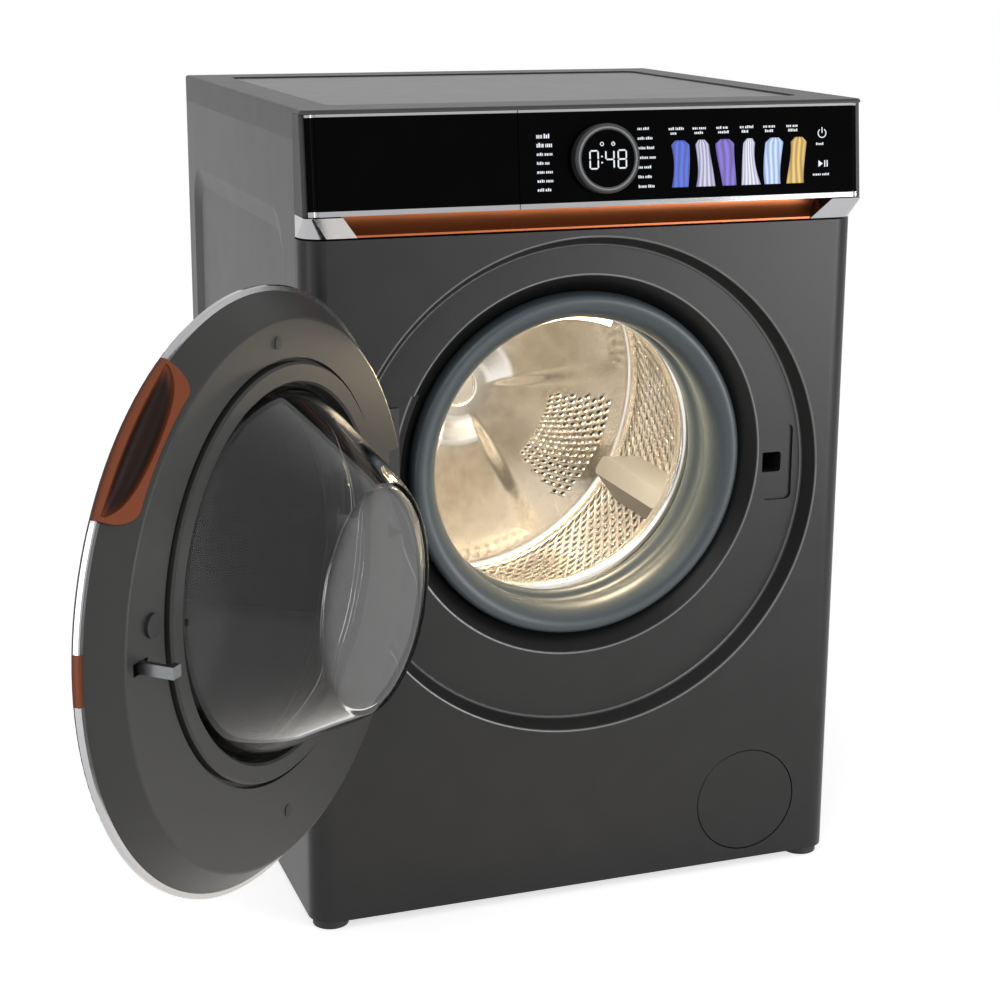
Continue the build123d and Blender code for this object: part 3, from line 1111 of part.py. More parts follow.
# Spider: hub, arms across the drum's back and the shaft through the bearings
with BuildPart() as drum_spider:
    add(barrel(0, PORT_Z, DRUM_END_Y, DRUM_END_Y + SPIDER_T, SPIDER_HUB_R))
    with BuildSketch(facing(DRUM_END_Y)):
        with Locations((0, PORT_Z)):
            with PolarLocations(SPIDER_R / 2, SPIDER_ARMS, start_angle=90):
                Rectangle(SPIDER_R, SPIDER_HUB_R)
    extrude(amount=-SPIDER_T)
    add(barrel(0, PORT_Z, DRUM_END_Y, PULLEY_END_Y + PULLEY_GAP, SHAFT_R))
drum_spider.part.label = "drum_spider"

# Drum pulley: rim, web with windows and hub
with BuildPart() as drum_pulley:
    add(ring(PULLEY_Y, PULLEY_END_Y, PULLEY_R - PULLEY_RIM, PULLEY_R, PORT_Z))
    add(ring(PULLEY_Y, PULLEY_Y + PULLEY_WEB, SHAFT_R, PULLEY_R - PULLEY_RIM, PORT_Z))
    add(ring(PULLEY_Y, PULLEY_END_Y, SHAFT_R, SHAFT_R + PULLEY_RIM, PORT_Z))
    with BuildSketch(facing(PULLEY_Y)):
        with Locations((0, PORT_Z)):
            with PolarLocations(PULLEY_R * 0.6, 6):
                Circle(PULLEY_R / 5)
    extrude(amount=-PULLEY_WEB, mode=Mode.SUBTRACT)
drum_pulley.part.label = "drum_pulley"

# Door: the notch left open for the hinge lugs, and the sectors of handle and rim tab
NOTCH_Z = LUG_Z + HINGE_LUG_T + HINGE_NOTCH_OVER
NOTCH_Y = HINGE_Y - HINGE_BARREL_R - HINGE_LUG_GAP


def hinge_notch():
    """Space in the door through which the hinge lugs pass."""
    return block(HINGE_X - DOOR_R, NOTCH_X, NOTCH_Y, RING_Y + FUNNEL, HINGE_Z - NOTCH_Z, HINGE_Z + NOTCH_Z,
                 SWUNG)


def bevel_y(radius):
    """Depth of the door's slanted inner edge at a radius."""
    inward = (DOOR_R - RIM_T - radius) / (DOOR_R - RIM_T - DOOR_FACE_R)
    return DOOR_RIM_Y + (DOOR_FACE_Y - DOOR_RIM_Y) * inward


def handle_sector(grow):
    """Sector of the door's slanted edge that the handle fills, enlarged all round."""
    outline = [
        (bevel_y(HANDLE_IN_R) + HANDLE_T, HANDLE_IN_R - grow),
        (bevel_y(HANDLE_IN_R) - HANDLE_T - grow, HANDLE_IN_R - grow),
        (DOOR_RIM_Y - RIM_H, DOOR_R - RIM_T - HANDLE_T / 3 - grow),
        (DOOR_RIM_Y - RIM_H, 2 * DOOR_R),
        (bevel_y(HANDLE_IN_R) + HANDLE_T, 2 * DOOR_R),
    ]
    spread = degrees(grow / DOOR_R)
    axis = depth_axis(RING_Z, pose=SWUNG)
    with BuildPart() as sector:
        add(turned(outline, RING_Z, SWUNG, HANDLE_TO + spread, HANDLE_TO - HANDLE_FROM + 2 * spread))
        ends = edges().filter_by(axis).sort_by_distance(axis.position + axis.direction * bevel_y(HANDLE_IN_R))
        fillet(ends[:2], HANDLE_ROUND + grow)
    return sector.part


# Door inner ring: slanted edge, flat face, groove and lip round the glass, boss and cheeks
HOOK_Y = DOOR_FACE_Y - 2 * DOOR_WALL
with BuildPart() as door_inner_ring:
    add(turned_sheet(
        [(DOOR_RIM_Y, DOOR_R - RIM_T), (DOOR_FACE_Y, DOOR_FACE_R), (DOOR_FACE_Y, DOOR_FACE_R - PRESS_LAND)],
        RING_Z, DOOR_ROUND, DOOR_WALL, Side.RIGHT, SWUNG))
    with BuildSketch(facing(DOOR_FACE_Y, SWUNG)):
        with Locations((0, RING_Z)):
            Circle(DOOR_FACE_R - PRESS_LAND)
        with Locations((0, PORT_Z)):
            Circle(SEAT_R, mode=Mode.SUBTRACT)
    extrude(amount=DOOR_WALL)
    add(turned([
        (SEAT_Y, SEAT_R + DOOR_WALL), (SEAT_Y, LIP_BORE_R), (LIP_Y - LIP_EDGE, LIP_BORE_R),
        (LIP_Y, LIP_BORE_R + LIP_EDGE), (LIP_Y, SEAT_R - GROOVE_W - LIP_EDGE),
        (LIP_Y - LIP_EDGE, SEAT_R - GROOVE_W), (DOOR_FACE_Y - GROOVE_DEPTH, SEAT_R - GROOVE_W),
        (DOOR_FACE_Y - GROOVE_DEPTH, SEAT_R), (DOOR_FACE_Y - DOOR_WALL, SEAT_R),
        (DOOR_FACE_Y - DOOR_WALL, SEAT_R + DOOR_WALL)], PORT_Z, SWUNG))
    add(block(NOTCH_X, LEAF_END_X, HINGE_Y + HINGE_LEAF_T / 2, DOOR_FACE_Y - DOOR_WALL,
              HINGE_Z - HINGE_BARREL_H / 3, HINGE_Z + HINGE_BARREL_H / 3, SWUNG))
    add(hinge_notch(), mode=Mode.SUBTRACT)
    add(handle_sector(FIT), mode=Mode.SUBTRACT)
    for side in (-1, 1):
        cheek_z = LATCH_Z + side * (HOOK_H / 2 + HOOK_CHEEK / 2 + FIT)
        add(block(LATCH_X - HOOK_H, LATCH_X + HOOK_H, HOOK_Y - HOOK_CHEEK, DOOR_FACE_Y - DOOR_WALL,
                  cheek_z - HOOK_CHEEK / 2, cheek_z + HOOK_CHEEK / 2, SWUNG))
    add(block(LATCH_X - HOOK_H, LATCH_X + HOOK_H, DOOR_FACE_Y - DOOR_WALL, DOOR_FACE_Y,
              LATCH_Z - HOOK_H / 2 - FIT, LATCH_Z + HOOK_H / 2 + FIT, SWUNG), mode=Mode.SUBTRACT)
    add(post(LATCH_X, HOOK_Y, LATCH_Z - HOOK_H / 2 - HOOK_CHEEK, LATCH_Z + HOOK_H / 2 + HOOK_CHEEK,
             HOOK_PIN_R + RUN, SWUNG), mode=Mode.SUBTRACT)
door_inner_ring.part.label = "door_inner_ring"

# Door outer shell with the ledge for its window
SHELL_Y = FRONT_Y - SHELL_FRONT
with BuildPart() as door_outer_shell:
    add(turned_sheet(
        [(DOOR_RIM_Y - RIM_H, DOOR_R - RIM_T / 2), (DOOR_RIM_Y - 1.5 * RIM_H, DOOR_R - RIM_T / 2),
         (SHELL_Y, SHELL_FACE_R), (SHELL_Y, WINDOW_R)], RING_Z, DOOR_ROUND, DOOR_WALL, Side.LEFT, SWUNG))
    add(ring(SHELL_Y + WINDOW_T, SHELL_Y + WINDOW_T + DOOR_WALL, WINDOW_R - 2 * RIM_T, WINDOW_R + 2 * RIM_T,
             RING_Z, SWUNG))
    add(ring(SHELL_Y + DOOR_WALL, SHELL_Y + WINDOW_T + DOOR_WALL, WINDOW_R + FIT, WINDOW_R + 2 * RIM_T,
             RING_Z, SWUNG))
    add(hinge_notch(), mode=Mode.SUBTRACT)
    add(handle_sector(FIT), mode=Mode.SUBTRACT)
door_outer_shell.part.label = "door_outer_shell"

with BuildPart() as door_outer_window:
    with BuildSketch(radial(RING_Z, pose=SWUNG)):
        with BuildLine():
            crown = Line((SHELL_Y - WINDOW_DOME, 0), (SHELL_Y + WINDOW_T - WINDOW_DOME, 0))
            edge = Line((SHELL_Y, WINDOW_R - FIT), (SHELL_Y + WINDOW_T, WINDOW_R - FIT))
            Spline(crown @ 0, edge @ 0, tangents=((0, 1), (2 * WINDOW_DOME, WINDOW_R)))
            Spline(crown @ 1, edge @ 1, tangents=((0, 1), (2 * WINDOW_DOME, WINDOW_R)))
        make_face()
    revolve(axis=depth_axis(RING_Z, pose=SWUNG))
door_outer_window.part.label = "door_outer_window"

# Chrome rim round the door's widest edge, let in for the handle, the tab and the hinge
with BuildPart() as door_chrome_rim:
    add(ring(DOOR_RIM_Y - RIM_H, DOOR_RIM_Y, DOOR_R - RIM_T, DOOR_R, RING_Z, SWUNG))
    chamfer(edges().filter_by(GeomType.CIRCLE).group_by(SortBy.RADIUS)[-1], RIM_T / 5)
    add(hinge_notch(), mode=Mode.SUBTRACT)
    add(handle_sector(FIT), mode=Mode.SUBTRACT)
    add(ring(DOOR_RIM_Y - RIM_H, DOOR_RIM_Y, DOOR_R - RIM_T, DOOR_R, RING_Z, SWUNG,
             TAB_TO, TAB_TO - TAB_FROM), mode=Mode.SUBTRACT)
door_chrome_rim.part.label = "door_chrome_rim"

# Handle: an insert in the slanted edge with a boat-shaped scoop, and the small tab on the rim
SCOOP_R = (HANDLE_IN_R + DOOR_R) / 2
SCOOP_STEPS = ((0.0, 0.0), (0.06, 0.42), (0.2, 0.8), (0.5, 1.0), (0.8, 0.8), (0.94, 0.42), (1.0, 0.0))
SCOOP_MARGIN = degrees(2 * SCOOP_LIP / DOOR_R)
FACE_Y, FACE_R = bevel_y(HANDLE_IN_R) - DOOR_RIM_Y, DOOR_R - HANDLE_IN_R
FACE_L = hypot(FACE_Y, FACE_R)


def scoop_point(wide):
    """Depth and radius of the scoop's middle, off the slanted face, at a share of its full width."""
    up = SCOOP_LIP + SCOOP_TIP + (FACE_L / 2 - SCOOP_LIP - SCOOP_TIP) * wide
    out = SCOOP_OUT * wide
    return (DOOR_RIM_Y + (FACE_Y * up + FACE_R * out) / FACE_L,
            DOOR_R + (FACE_Y * out - FACE_R * up) / FACE_L)


with BuildPart() as door_handle:
    add(turned([
        (bevel_y(HANDLE_IN_R) + FIT, HANDLE_IN_R), (bevel_y(HANDLE_IN_R) - HANDLE_T, HANDLE_IN_R),
        (DOOR_RIM_Y - RIM_H + FIT, DOOR_R - RIM_T - HANDLE_T / 3), (DOOR_RIM_Y - RIM_H + FIT, DOOR_R),
        (DOOR_RIM_Y, DOOR_R)], RING_Z, SWUNG, HANDLE_TO, HANDLE_TO - HANDLE_FROM))
    add(handle_sector(0.0), mode=Mode.INTERSECT)
    for along, wide in SCOOP_STEPS:
        angle = HANDLE_FROM + SCOOP_MARGIN + (HANDLE_TO - HANDLE_FROM - 2 * SCOOP_MARGIN) * along
        with BuildSketch(radial(RING_Z, angle, SWUNG)):
            with Locations(scoop_point(wide)):
                Circle(SCOOP_TIP + (HANDLE_SCOOP_R - SCOOP_TIP) * wide)
    loft(mode=Mode.SUBTRACT)
    add(ring(DOOR_RIM_Y - RIM_H, DOOR_RIM_Y, DOOR_R - RIM_T, DOOR_R + TAB_PROUD, RING_Z, SWUNG,
             TAB_TO - degrees(FIT / DOOR_R), TAB_TO - TAB_FROM - 2 * degrees(FIT / DOOR_R)))
door_handle.part.label = "door_handle"

# Glass bowl: a loft of circles that narrow and drop towards the drum, hollow, with a clamped flange
BOWL_Y = SEAT_Y - BOWL_FLANGE_T - FIT
BOWL_STEPS = ((0.0, 0.0), (0.15, 0.07), (0.35, 0.27), (0.6, 0.53), (0.85, 0.79), (0.96, 0.92), (1.0, 1.0))
with BuildPart() as door_glass_bowl:
    for wall, mode in ((0.0, Mode.ADD), (BOWL_WALL, Mode.SUBTRACT)):
        for along, narrow in BOWL_STEPS:
            with BuildSketch(facing(BOWL_Y + along * BOWL_DEPTH - wall, SWUNG)):
                with Locations((0, PORT_Z - BOWL_DROP * narrow)):
                    Circle(BOWL_R - (BOWL_R - BOWL_END_R) * narrow - wall)
        loft(mode=mode)
    add(ring(BOWL_Y, BOWL_Y + BOWL_FLANGE_T, BOWL_R - BOWL_WALL / 2, BOWL_FLANGE_R, PORT_Z, SWUNG))
door_glass_bowl.part.label = "door_glass_bowl"

# Hinge arm on the door: barrel round the pin and a leaf into the door
with BuildPart() as door_hinge_arm:
    add(post(HINGE_X, HINGE_Y, HINGE_Z - HINGE_BARREL_H / 2, HINGE_Z + HINGE_BARREL_H / 2,
             HINGE_BARREL_R, SWUNG))
    add(block(HINGE_X, LEAF_END_X, HINGE_Y - HINGE_LEAF_T / 2, HINGE_Y + HINGE_LEAF_T / 2,
              HINGE_Z - HINGE_BARREL_H / 3, HINGE_Z + HINGE_BARREL_H / 3, SWUNG))
    add(post(HINGE_X, HINGE_Y, 0, CAB_H, HINGE_PIN_R + RUN, SWUNG), mode=Mode.SUBTRACT)
door_hinge_arm.part.label = "door_hinge_arm"

# Rubber pieces on the door's inner face: the bumper beside the latch and two screw plugs
with BuildPart() as door_plugs:
    add(barrel(BUMPER_X, RING_Z + BUMPER_RISE, DOOR_FACE_Y, RING_Y - BUMPER_GAP, BUMPER_R, SWUNG))
    for side in (-1, 1):
        add(barrel(0, RING_Z + PORT_RISE / 2 + side * PLUG_TOP, DOOR_FACE_Y, DOOR_FACE_Y + PLUG_H,
                   PLUG_R, SWUNG))
door_plugs.part.label = "door_plugs"

# Sprung latch hook on its pin
with BuildPart() as latch_hook:
    add(block(LATCH_X - HOOK_W / 2, LATCH_X + HOOK_W / 2, HOOK_Y - HOOK_W / 2, DOOR_FACE_Y + HOOK_L,
              LATCH_Z - HOOK_H / 2, LATCH_Z + HOOK_H / 2, SWUNG))
    add(block(LATCH_X - HOOK_W / 2 - HOOK_NOSE, LATCH_X, DOOR_FACE_Y + HOOK_L - HOOK_NOSE,
              DOOR_FACE_Y + HOOK_L, LATCH_Z - HOOK_H / 2, LATCH_Z + HOOK_H / 2, SWUNG))
    add(post(LATCH_X, HOOK_Y, LATCH_Z - HOOK_H / 2 - HOOK_CHEEK, LATCH_Z + HOOK_H / 2 + HOOK_CHEEK,
             HOOK_PIN_R, SWUNG))
latch_hook.part.label = "latch_hook"


def levelling_foot(x, y, name):
    """Levelling foot: a wide pad with a threaded stud."""
    with BuildPart() as foot:
        add(post(x, y, 0, FOOT_H, FOOT_R))
        chamfer(edges().sort_by(Axis.Z)[-1], FOOT_H / 3)
        add(post(x, y, FOOT_H, FOOT_H + FOOT_STUD_L, FOOT_STUD_R))
    foot.part.label = name
    return foot.part


FEET = [
    levelling_foot(-FOOT_X, -FOOT_Y, "foot_front_left"),
    levelling_foot(FOOT_X, -FOOT_Y, "foot_front_right"),
    levelling_foot(-FOOT_X, FOOT_Y, "foot_rear_left"),
    levelling_foot(FOOT_X, FOOT_Y, "foot_rear_right"),
]

PIECES = [
    base_tray, left_side_panel, right_side_panel, rear_panel, rear_service_cover, front_panel,
    top_cover_frame, top_cover_board, cross_brace, control_chassis, control_fascia, control_trim,
    control_corners, grip_insert, display_module, dial_ring, dispenser_housing, drawer_tray,
    drawer_fascia, drawer_trim, inlet_valve, hoses, drain_pump, pump_filter, filter_cover, door_lock,
    hinge_bracket, hinge_pin, cabinet_screws, mains_gland, suspension_springs, damper_cylinders,
    damper_rods, gasket, drum_lamp, tub_front_half, tub_rear_half, drum_bearings, counterweights,
    motor_body, motor_pulley, drive_belt, heater, drum_shell, drum_lifters, drum_spider, drum_pulley,
    door_inner_ring, door_outer_shell, door_outer_window, door_chrome_rim, door_handle, door_glass_bowl,
    door_hinge_arm, door_plugs, latch_hook,
]

os.makedirs("parts", exist_ok=True)
for piece in PIECES:
    export_step(piece.part, f"parts/{piece.part.label}.step")
for foot in FEET:
    export_step(foot, f"parts/{foot.label}.step")
print("pieces", len(PIECES) + len(FEET))
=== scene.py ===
"""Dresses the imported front-loading washing machine: finishes, drum, gasket, glass, display and stage."""
import json

import bmesh
import bpy
import numpy as np
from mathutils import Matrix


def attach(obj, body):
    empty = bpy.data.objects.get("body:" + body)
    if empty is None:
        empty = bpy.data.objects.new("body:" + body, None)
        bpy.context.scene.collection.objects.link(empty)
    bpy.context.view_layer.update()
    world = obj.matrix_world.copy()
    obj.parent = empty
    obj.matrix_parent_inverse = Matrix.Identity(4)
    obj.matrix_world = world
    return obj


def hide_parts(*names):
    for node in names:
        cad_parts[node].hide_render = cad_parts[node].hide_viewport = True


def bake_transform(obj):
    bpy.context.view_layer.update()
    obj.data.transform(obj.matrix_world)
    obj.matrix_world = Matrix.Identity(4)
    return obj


bl_info = {
    "name": "Front-loading washing machine",
    "version": (1, 0, 0),
    "blender": (4, 5, 0),
    "location": "View3D > Sidebar > Washer",
    "description": "Dresses the packed CAD model of a front-loading washing machine",
    "category": "Object",
}

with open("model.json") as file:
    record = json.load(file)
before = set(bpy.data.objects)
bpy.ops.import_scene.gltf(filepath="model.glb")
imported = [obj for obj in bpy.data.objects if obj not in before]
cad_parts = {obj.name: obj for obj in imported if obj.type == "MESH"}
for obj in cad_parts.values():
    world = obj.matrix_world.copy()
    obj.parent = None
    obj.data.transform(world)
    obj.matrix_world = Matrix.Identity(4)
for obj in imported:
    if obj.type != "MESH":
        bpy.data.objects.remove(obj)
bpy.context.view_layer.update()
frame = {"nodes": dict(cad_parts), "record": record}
NODES = frame["nodes"]
MM = 0.001

# Places shared with the CAD model, in millimetres
PORT_Z = 473.5
RING_Z = 453.5
RING_EDGES = (264.5, 254.5)
PORT_EDGE = 203.5
FUNNEL_R = 201.8
FUNNEL_Y = -244.5
DRUM_Y = -168.5
DRUM_END_Y = 149.5
DRUM_R = 238.0
HINGE = np.array([-244.0, -309.5])
DOOR_OPEN = np.radians(133.0)
DOOR_R = 267.0
SCOOP_Y = -292.5
SCOOP_SLANT = (0.686, 0.728)
PANEL_FOOT = np.array([0.0, -295.5, 755.0])
PANEL_TILT = np.arctan2(10.0, 91.0)
DIAL_X = 6.5
DIAL_UP = 42.0 / np.cos(PANEL_TILT)
DIAL_OUT = 13.0


def linear(red, green, blue):
    """Linear colour of an sRGB colour given from 0 to 255."""
    value = np.array([red, green, blue]) / 255.0
    return tuple(np.where(value <= 0.04045, value / 12.92, ((value + 0.055) / 1.055) ** 2.4))


def colour(name, description, *shade):
    """Colour setting with its default in sRGB."""
    return bpy.props.FloatVectorProperty(
        name=name, description=description, subtype="COLOR", size=3, min=0.0, max=1.0, default=linear(*shade))


def length(name, description, millimetres):
    """Length setting with its default in millimetres."""
    return bpy.props.FloatProperty(
        name=name, description=description, unit="LENGTH", default=millimetres * MM, min=0.0, precision=4)


def number(name, description, default):
    """Plain number setting."""
    return bpy.props.FloatProperty(name=name, description=description, default=default, min=0.0)


class WasherColours(bpy.types.PropertyGroup):
    """Colours of the finishes."""

    graphite: colour("Graphite paint", "Metallic paint of front and sides", 46, 46, 46)
    graphite_plastic: colour("Graphite plastic", "Moulded frame of the top", 54, 54, 54)
    top_board: colour("Top board", "Inset board of the top", 64, 64, 64)
    black_glass: colour("Black glass", "Glass of the control panel", 4, 4, 5)
    chrome: colour("Chrome", "Plated trim and rims", 172, 172, 174)
    copper: colour("Copper brown", "Lining of the grip", 160, 88, 48)
    handle: colour("Handle brown", "Scooped door handle", 118, 62, 38)
    door: colour("Door grey", "Satin ring of the door", 52, 52, 51)
    gasket: colour("Gasket grey", "Blue-grey rubber of the gasket", 54, 63, 68)
    rubber: colour("Black rubber", "Feet, plugs and belt", 20, 20, 21)
    dark_plastic: colour("Dark plastic", "Lock, chassis and hinge covers", 28, 28, 29)
    grey_plastic: colour("Grey plastic", "Tub and housings", 120, 122, 124)
    white_plastic: colour("White plastic", "Drawer tray and hoses", 205, 207, 206)
    steel: colour("Stainless steel", "Drum and its fittings", 228, 225, 220)
    zinc: colour("Zinc steel", "Brackets and screws", 112, 113, 115)
    iron: colour("Cast weight", "Counterweights", 74, 72, 70)
    aluminium: colour("Aluminium", "Motor body and spider", 168, 170, 172)
    lamp: colour("Lamp", "Warm light of the drum lamp", 255, 232, 196)
    signs: colour("Signs", "Lit signs of the display", 236, 240, 246)


class WasherSizes(bpy.types.PropertyGroup):
    """Sizes of the pieces made here."""

    hole_r: length("Hole radius", "Holes in the drum wall", 2.3)
    pearl_h: length("Pearl height", "Relief of the drum wall between its holes", 0.9)
    arm_h: length("Arm height", "Relief of the arms pressed in the drum's back", 7.0)
    gasket_wall: length("Gasket wall", "Thickness of the gasket", 3.0)
    bead_h: length("Gasket bead", "Height of the beads on the gasket", 0.7)
    digit_h: length("Digit height", "Digits of the display", 17.5)
    sign_t: length("Sign thickness", "How far signs stand on the glass", 0.2)
    wire_r: length("Spring wire", "Wire radius of the suspension springs", 1.6)
    rib_h: length("Hose rib", "Height of the ribs on the hoses", 1.2)


class WasherStage(bpy.types.PropertyGroup):
    """Light of the stage."""

    key: number("Key light", "Power of the broad lamp at the upper left in watts", 28.0)
    left: number("Left strip", "Power of the upright strip lamp at the left in watts", 9.5)
    right: number("Right lamp", "Power of the soft lamp at the lower right in watts", 35.0)
    sky: number("Sky", "Strength of the even light all round", 0.42)
    floor_white: number("Floor white", "How far the floor shines white where it is seen", 0.62)
    drum_lamp: number("Drum lamp", "Power of the lamp in the drum in watts", 7.5)


class Field:
    """A number that changes over a surface: arithmetic on it adds Math nodes."""

    def __init__(self, finish, socket):
        self.finish, self.socket = finish, socket

    def _math(self, operation, first, second):
        node = self.finish.node("ShaderNodeMath", {"operation": operation}, {0: first, 1: second})
        return Field(self.finish, node.outputs[0])

    def __add__(self, other):
        return self._math("ADD", self, other)

    def __sub__(self, other):
        return self._math("SUBTRACT", self, other)

    def __rsub__(self, other):
        return self._math("SUBTRACT", other, self)

    def __mul__(self, other):
        return self._math("MULTIPLY", self, other)

    def __pow__(self, other):
        return self._math("POWER", self, other)

    def either(self, other):
        """The larger of two numbers."""
        return self._math("MAXIMUM", self, other)

    def band(self, middle, half, soft):
        """1 within half of the middle, 0 outside, over a soft step."""
        return self.above(middle - half, soft) * (1.0 - self.above(middle + half, soft))

    def above(self, edge, soft):
        """0 below the edge, 1 above it, over a soft step."""
        node = self.finish.node(
            "ShaderNodeMapRange", {"interpolation_type": "SMOOTHSTEP"},
            {"Value": self, "From Min": edge - soft, "From Max": edge + soft})
        return Field(self.finish, node.outputs[0])


class Finish:
    """A material or world under way: its shader and the nodes that feed it."""

    def __init__(self, owner, shader="Principled BSDF"):
        owner.use_nodes = True
        self.material = owner
        self.tree = owner.node_tree
        self.shader = self.tree.nodes[shader]

    def node(self, kind, settings=None, sockets=None):
        """One node: its settings are set first, then its sockets get values or links."""
        node = self.tree.nodes.new(kind)
        for key, value in (settings or {}).items():
            setattr(node, key, value)
        for key, value in (sockets or {}).items():
            self.feed(node.inputs[key], value)
        return node

    def feed(self, socket, value):
        """A link from a field or a socket, or a plain value."""
        if isinstance(value, Field):
            self.tree.links.new(value.socket, socket)
        elif isinstance(value, bpy.types.NodeSocket):
            self.tree.links.new(value, socket)
        elif socket.type == "RGBA" and len(value) == 3:
            socket.default_value = (*value, 1.0)
        else:
            socket.default_value = value

    def put(self, **values):
        """Values or links of the shader's sockets, with underscores for spaces."""
        for key, value in values.items():
            self.feed(self.shader.inputs[key.replace("_", " ")], value)

    def place(self, stretch=(1.0, 1.0, 1.0)):
        """Object coordinates, stretched."""
        coords = self.node("ShaderNodeTexCoord").outputs["Object"]
        return self.node("ShaderNodeMapping", None, {"Vector": coords, "Scale": stretch}).outputs[0]

    def parts(self, vector):
        """The three numbers of a vector."""
        node = self.node("ShaderNodeSeparateXYZ", None, {0: vector})
        return [Field(self, socket) for socket in node.outputs]

    def radius(self, x, z, height):
        """Distance from the level axis at a height in millimetres, in metres."""
        return (x * x + (z - height * MM) * (z - height * MM)) ** 0.5

    def seen(self):
        """1 for rays from the camera, mirrors and glass, 0 for light on surfaces."""
        path = self.node("ShaderNodeLightPath").outputs
        mirrored = Field(self, path["Is Glossy Ray"]).either(Field(self, path["Is Transmission Ray"]))
        return mirrored.either(Field(self, path["Is Camera Ray"]))

    def noise(self, scale, stretch=(1.0, 1.0, 1.0), detail=3.0):
        """Noise on Object coordinates, in cells per metre."""
        node = self.node("ShaderNodeTexNoise", None,
                         {"Vector": self.place(stretch), "Scale": scale, "Detail": detail})
        return Field(self, node.outputs[0])

    def tint(self, first, second, factor):
        """Colour between two colours."""
        node = self.node("ShaderNodeMix", {"data_type": "RGBA"}, {"Factor": factor})
        self.feed(node.inputs[6], first)
        self.feed(node.inputs[7], second)
        return node.outputs[2]

    def relief(self, height, millimetres):
        """Normal bent by a height field of the given depth."""
        return self.node("ShaderNodeBump", None,
                         {"Height": height, "Strength": 1.0, "Distance": millimetres * MM}).outputs[0]


def shaded(base, factor):
    """A colour made darker or lighter."""
    return tuple(min(1.0, float(part) * factor) for part in base)


def solid_finish(name, base, cells=900.0, stretch=(1.0, 1.0, 1.0), shade=0.12, rough=(0.38, 0.5),
                 metallic=0.0, depth=0.0, gloss=0.5):
    """Finish of one colour: grain and broad clouds move its colour and roughness, the grain its relief."""
    made = Finish(bpy.data.materials.new(name))
    grain = made.noise(cells, stretch)
    cloud = made.noise(cells / 60.0, stretch, 2.0)
    mixed = grain * 0.65 + cloud * 0.35
    made.put(Base_Color=made.tint(shaded(base, 1.0 - 2.0 * shade), shaded(base, 1.0 + 2.0 * shade), mixed),
             Roughness=mixed * (rough[1] - rough[0]) * 2.0 + (1.5 * rough[0] - 0.5 * rough[1]),
             Metallic=metallic, Specular_IOR_Level=gloss)
    if depth:
        made.put(Normal=made.relief(grain, depth))
    return made.material


def cabinet_finish(name, base):
    """Metallic paint with fine grain, painted highlights along the edges of the pressed rings and the port,
    and a black funnel in the port.

    The rings and the port's edge are bands of the distance from their axes, on the front alone; along them
    the paint is lightened as a painted highlight.
    """
    made = Finish(bpy.data.materials.new(name))
    x, y, z = made.parts(made.place())
    grain = made.noise(1500.0)
    mixed = grain * 0.75 + made.noise(24.0, detail=2.0) * 0.25
    front = 1.0 - y.above(FUNNEL_Y * MM, 0.001)
    ring, port = made.radius(x, z, RING_Z), made.radius(x, z, PORT_Z)
    # painted highlight: bright bands along the pressed ring edges and the port edge stand in for light caught
    # by their roundings
    outer, inner = (ring.band(radius * MM, 0.0009, 0.0006) for radius in RING_EDGES)
    edge = (outer + inner + port.band(PORT_EDGE * MM, 0.0008, 0.0006)) * front
    funnel = (1.0 - port.above(FUNNEL_R * MM, 0.0004)) * front
    paint = made.tint(shaded(base, 0.62), shaded(base, 1.42), mixed)
    # painted highlight: the paint turns six times lighter along the edge bands
    paint = made.tint(paint, shaded(base, 6.0), edge * 0.9)
    made.put(Base_Color=made.tint(paint, (0.004, 0.004, 0.004), funnel), Metallic=(1.0 - funnel) * 0.5,
             Roughness=mixed * 0.2 + 0.27, Normal=made.relief(grain, 0.05), Specular_IOR_Level=0.22)
    return made.material


def handle_finish(name, base):
    """Brown lacquer of the handle, with painted shade that darkens it into the scoop.

    The door's own depth and radius come from the open door's place turned back about the hinge; how deep a
    point lies below the slanted edge darkens its colour as painted shade, in place of the shade in the scoop.
    """
    made = Finish(bpy.data.materials.new(name))
    turn = np.array([[np.cos(DOOR_OPEN), -np.sin(DOOR_OPEN)], [np.sin(DOOR_OPEN), np.cos(DOOR_OPEN)]])
    back = HINGE - turn @ HINGE
    coords = made.node("ShaderNodeTexCoord").outputs["Object"]
    closed = made.node("ShaderNodeMapping", None, {
        "Vector": coords, "Rotation": (0.0, 0.0, DOOR_OPEN), "Location": (back[0] * MM, back[1] * MM, 0.0)})
    x, y, z = made.parts(closed.outputs[0])
    inward = DOOR_R * MM - made.radius(x, z, RING_Z)
    below = inward * SCOOP_SLANT[0] - (y - SCOOP_Y * MM) * SCOOP_SLANT[1]
    grain = made.noise(1400.0)
    lit = made.tint(shaded(base, 0.8), shaded(base, 1.2), grain)
    # painted shade: the colour falls to near black with depth below the slanted edge, standing in for the
    # scoop's shade
    made.put(Base_Color=made.tint(lit, shaded(base, 0.06), below.above(0.0032, 0.003)), Metallic=0.2,
             Roughness=grain * 0.14 + 0.38, Normal=made.relief(grain, 0.05), Specular_IOR_Level=0.2)
    return made.material


def glass_finish(name, tone, rough=0.03):
    """Clear pressed glass: light passes through, with faint smears and long waves from the mould."""
    made = Finish(bpy.data.materials.new(name))
    smear = made.noise(26.0, (1.0, 1.0, 0.3), 4.0)
    wave = made.noise(16.0, (1.0, 1.0, 0.3), 1.0)
    made.put(Base_Color=made.tint(shaded(tone, 0.92), tone, smear), Roughness=smear.above(0.6, 0.15) * rough,
             Transmission_Weight=1.0, IOR=1.33, Normal=made.relief(wave, 0.3))
    return made.material


def lit_finish(name, shade, strength=1.0):
    """Lit sign: its light wavers a little, as through a printed glass."""
    made = Finish(bpy.data.materials.new(name))
    waver = made.noise(400.0, detail=2.0)
    made.put(Base_Color=(0.02, 0.02, 0.02), Roughness=0.4, Emission_Strength=strength,
             Emission_Color=made.tint(shaded(shade, 0.85), shade, waver))
    return made.material


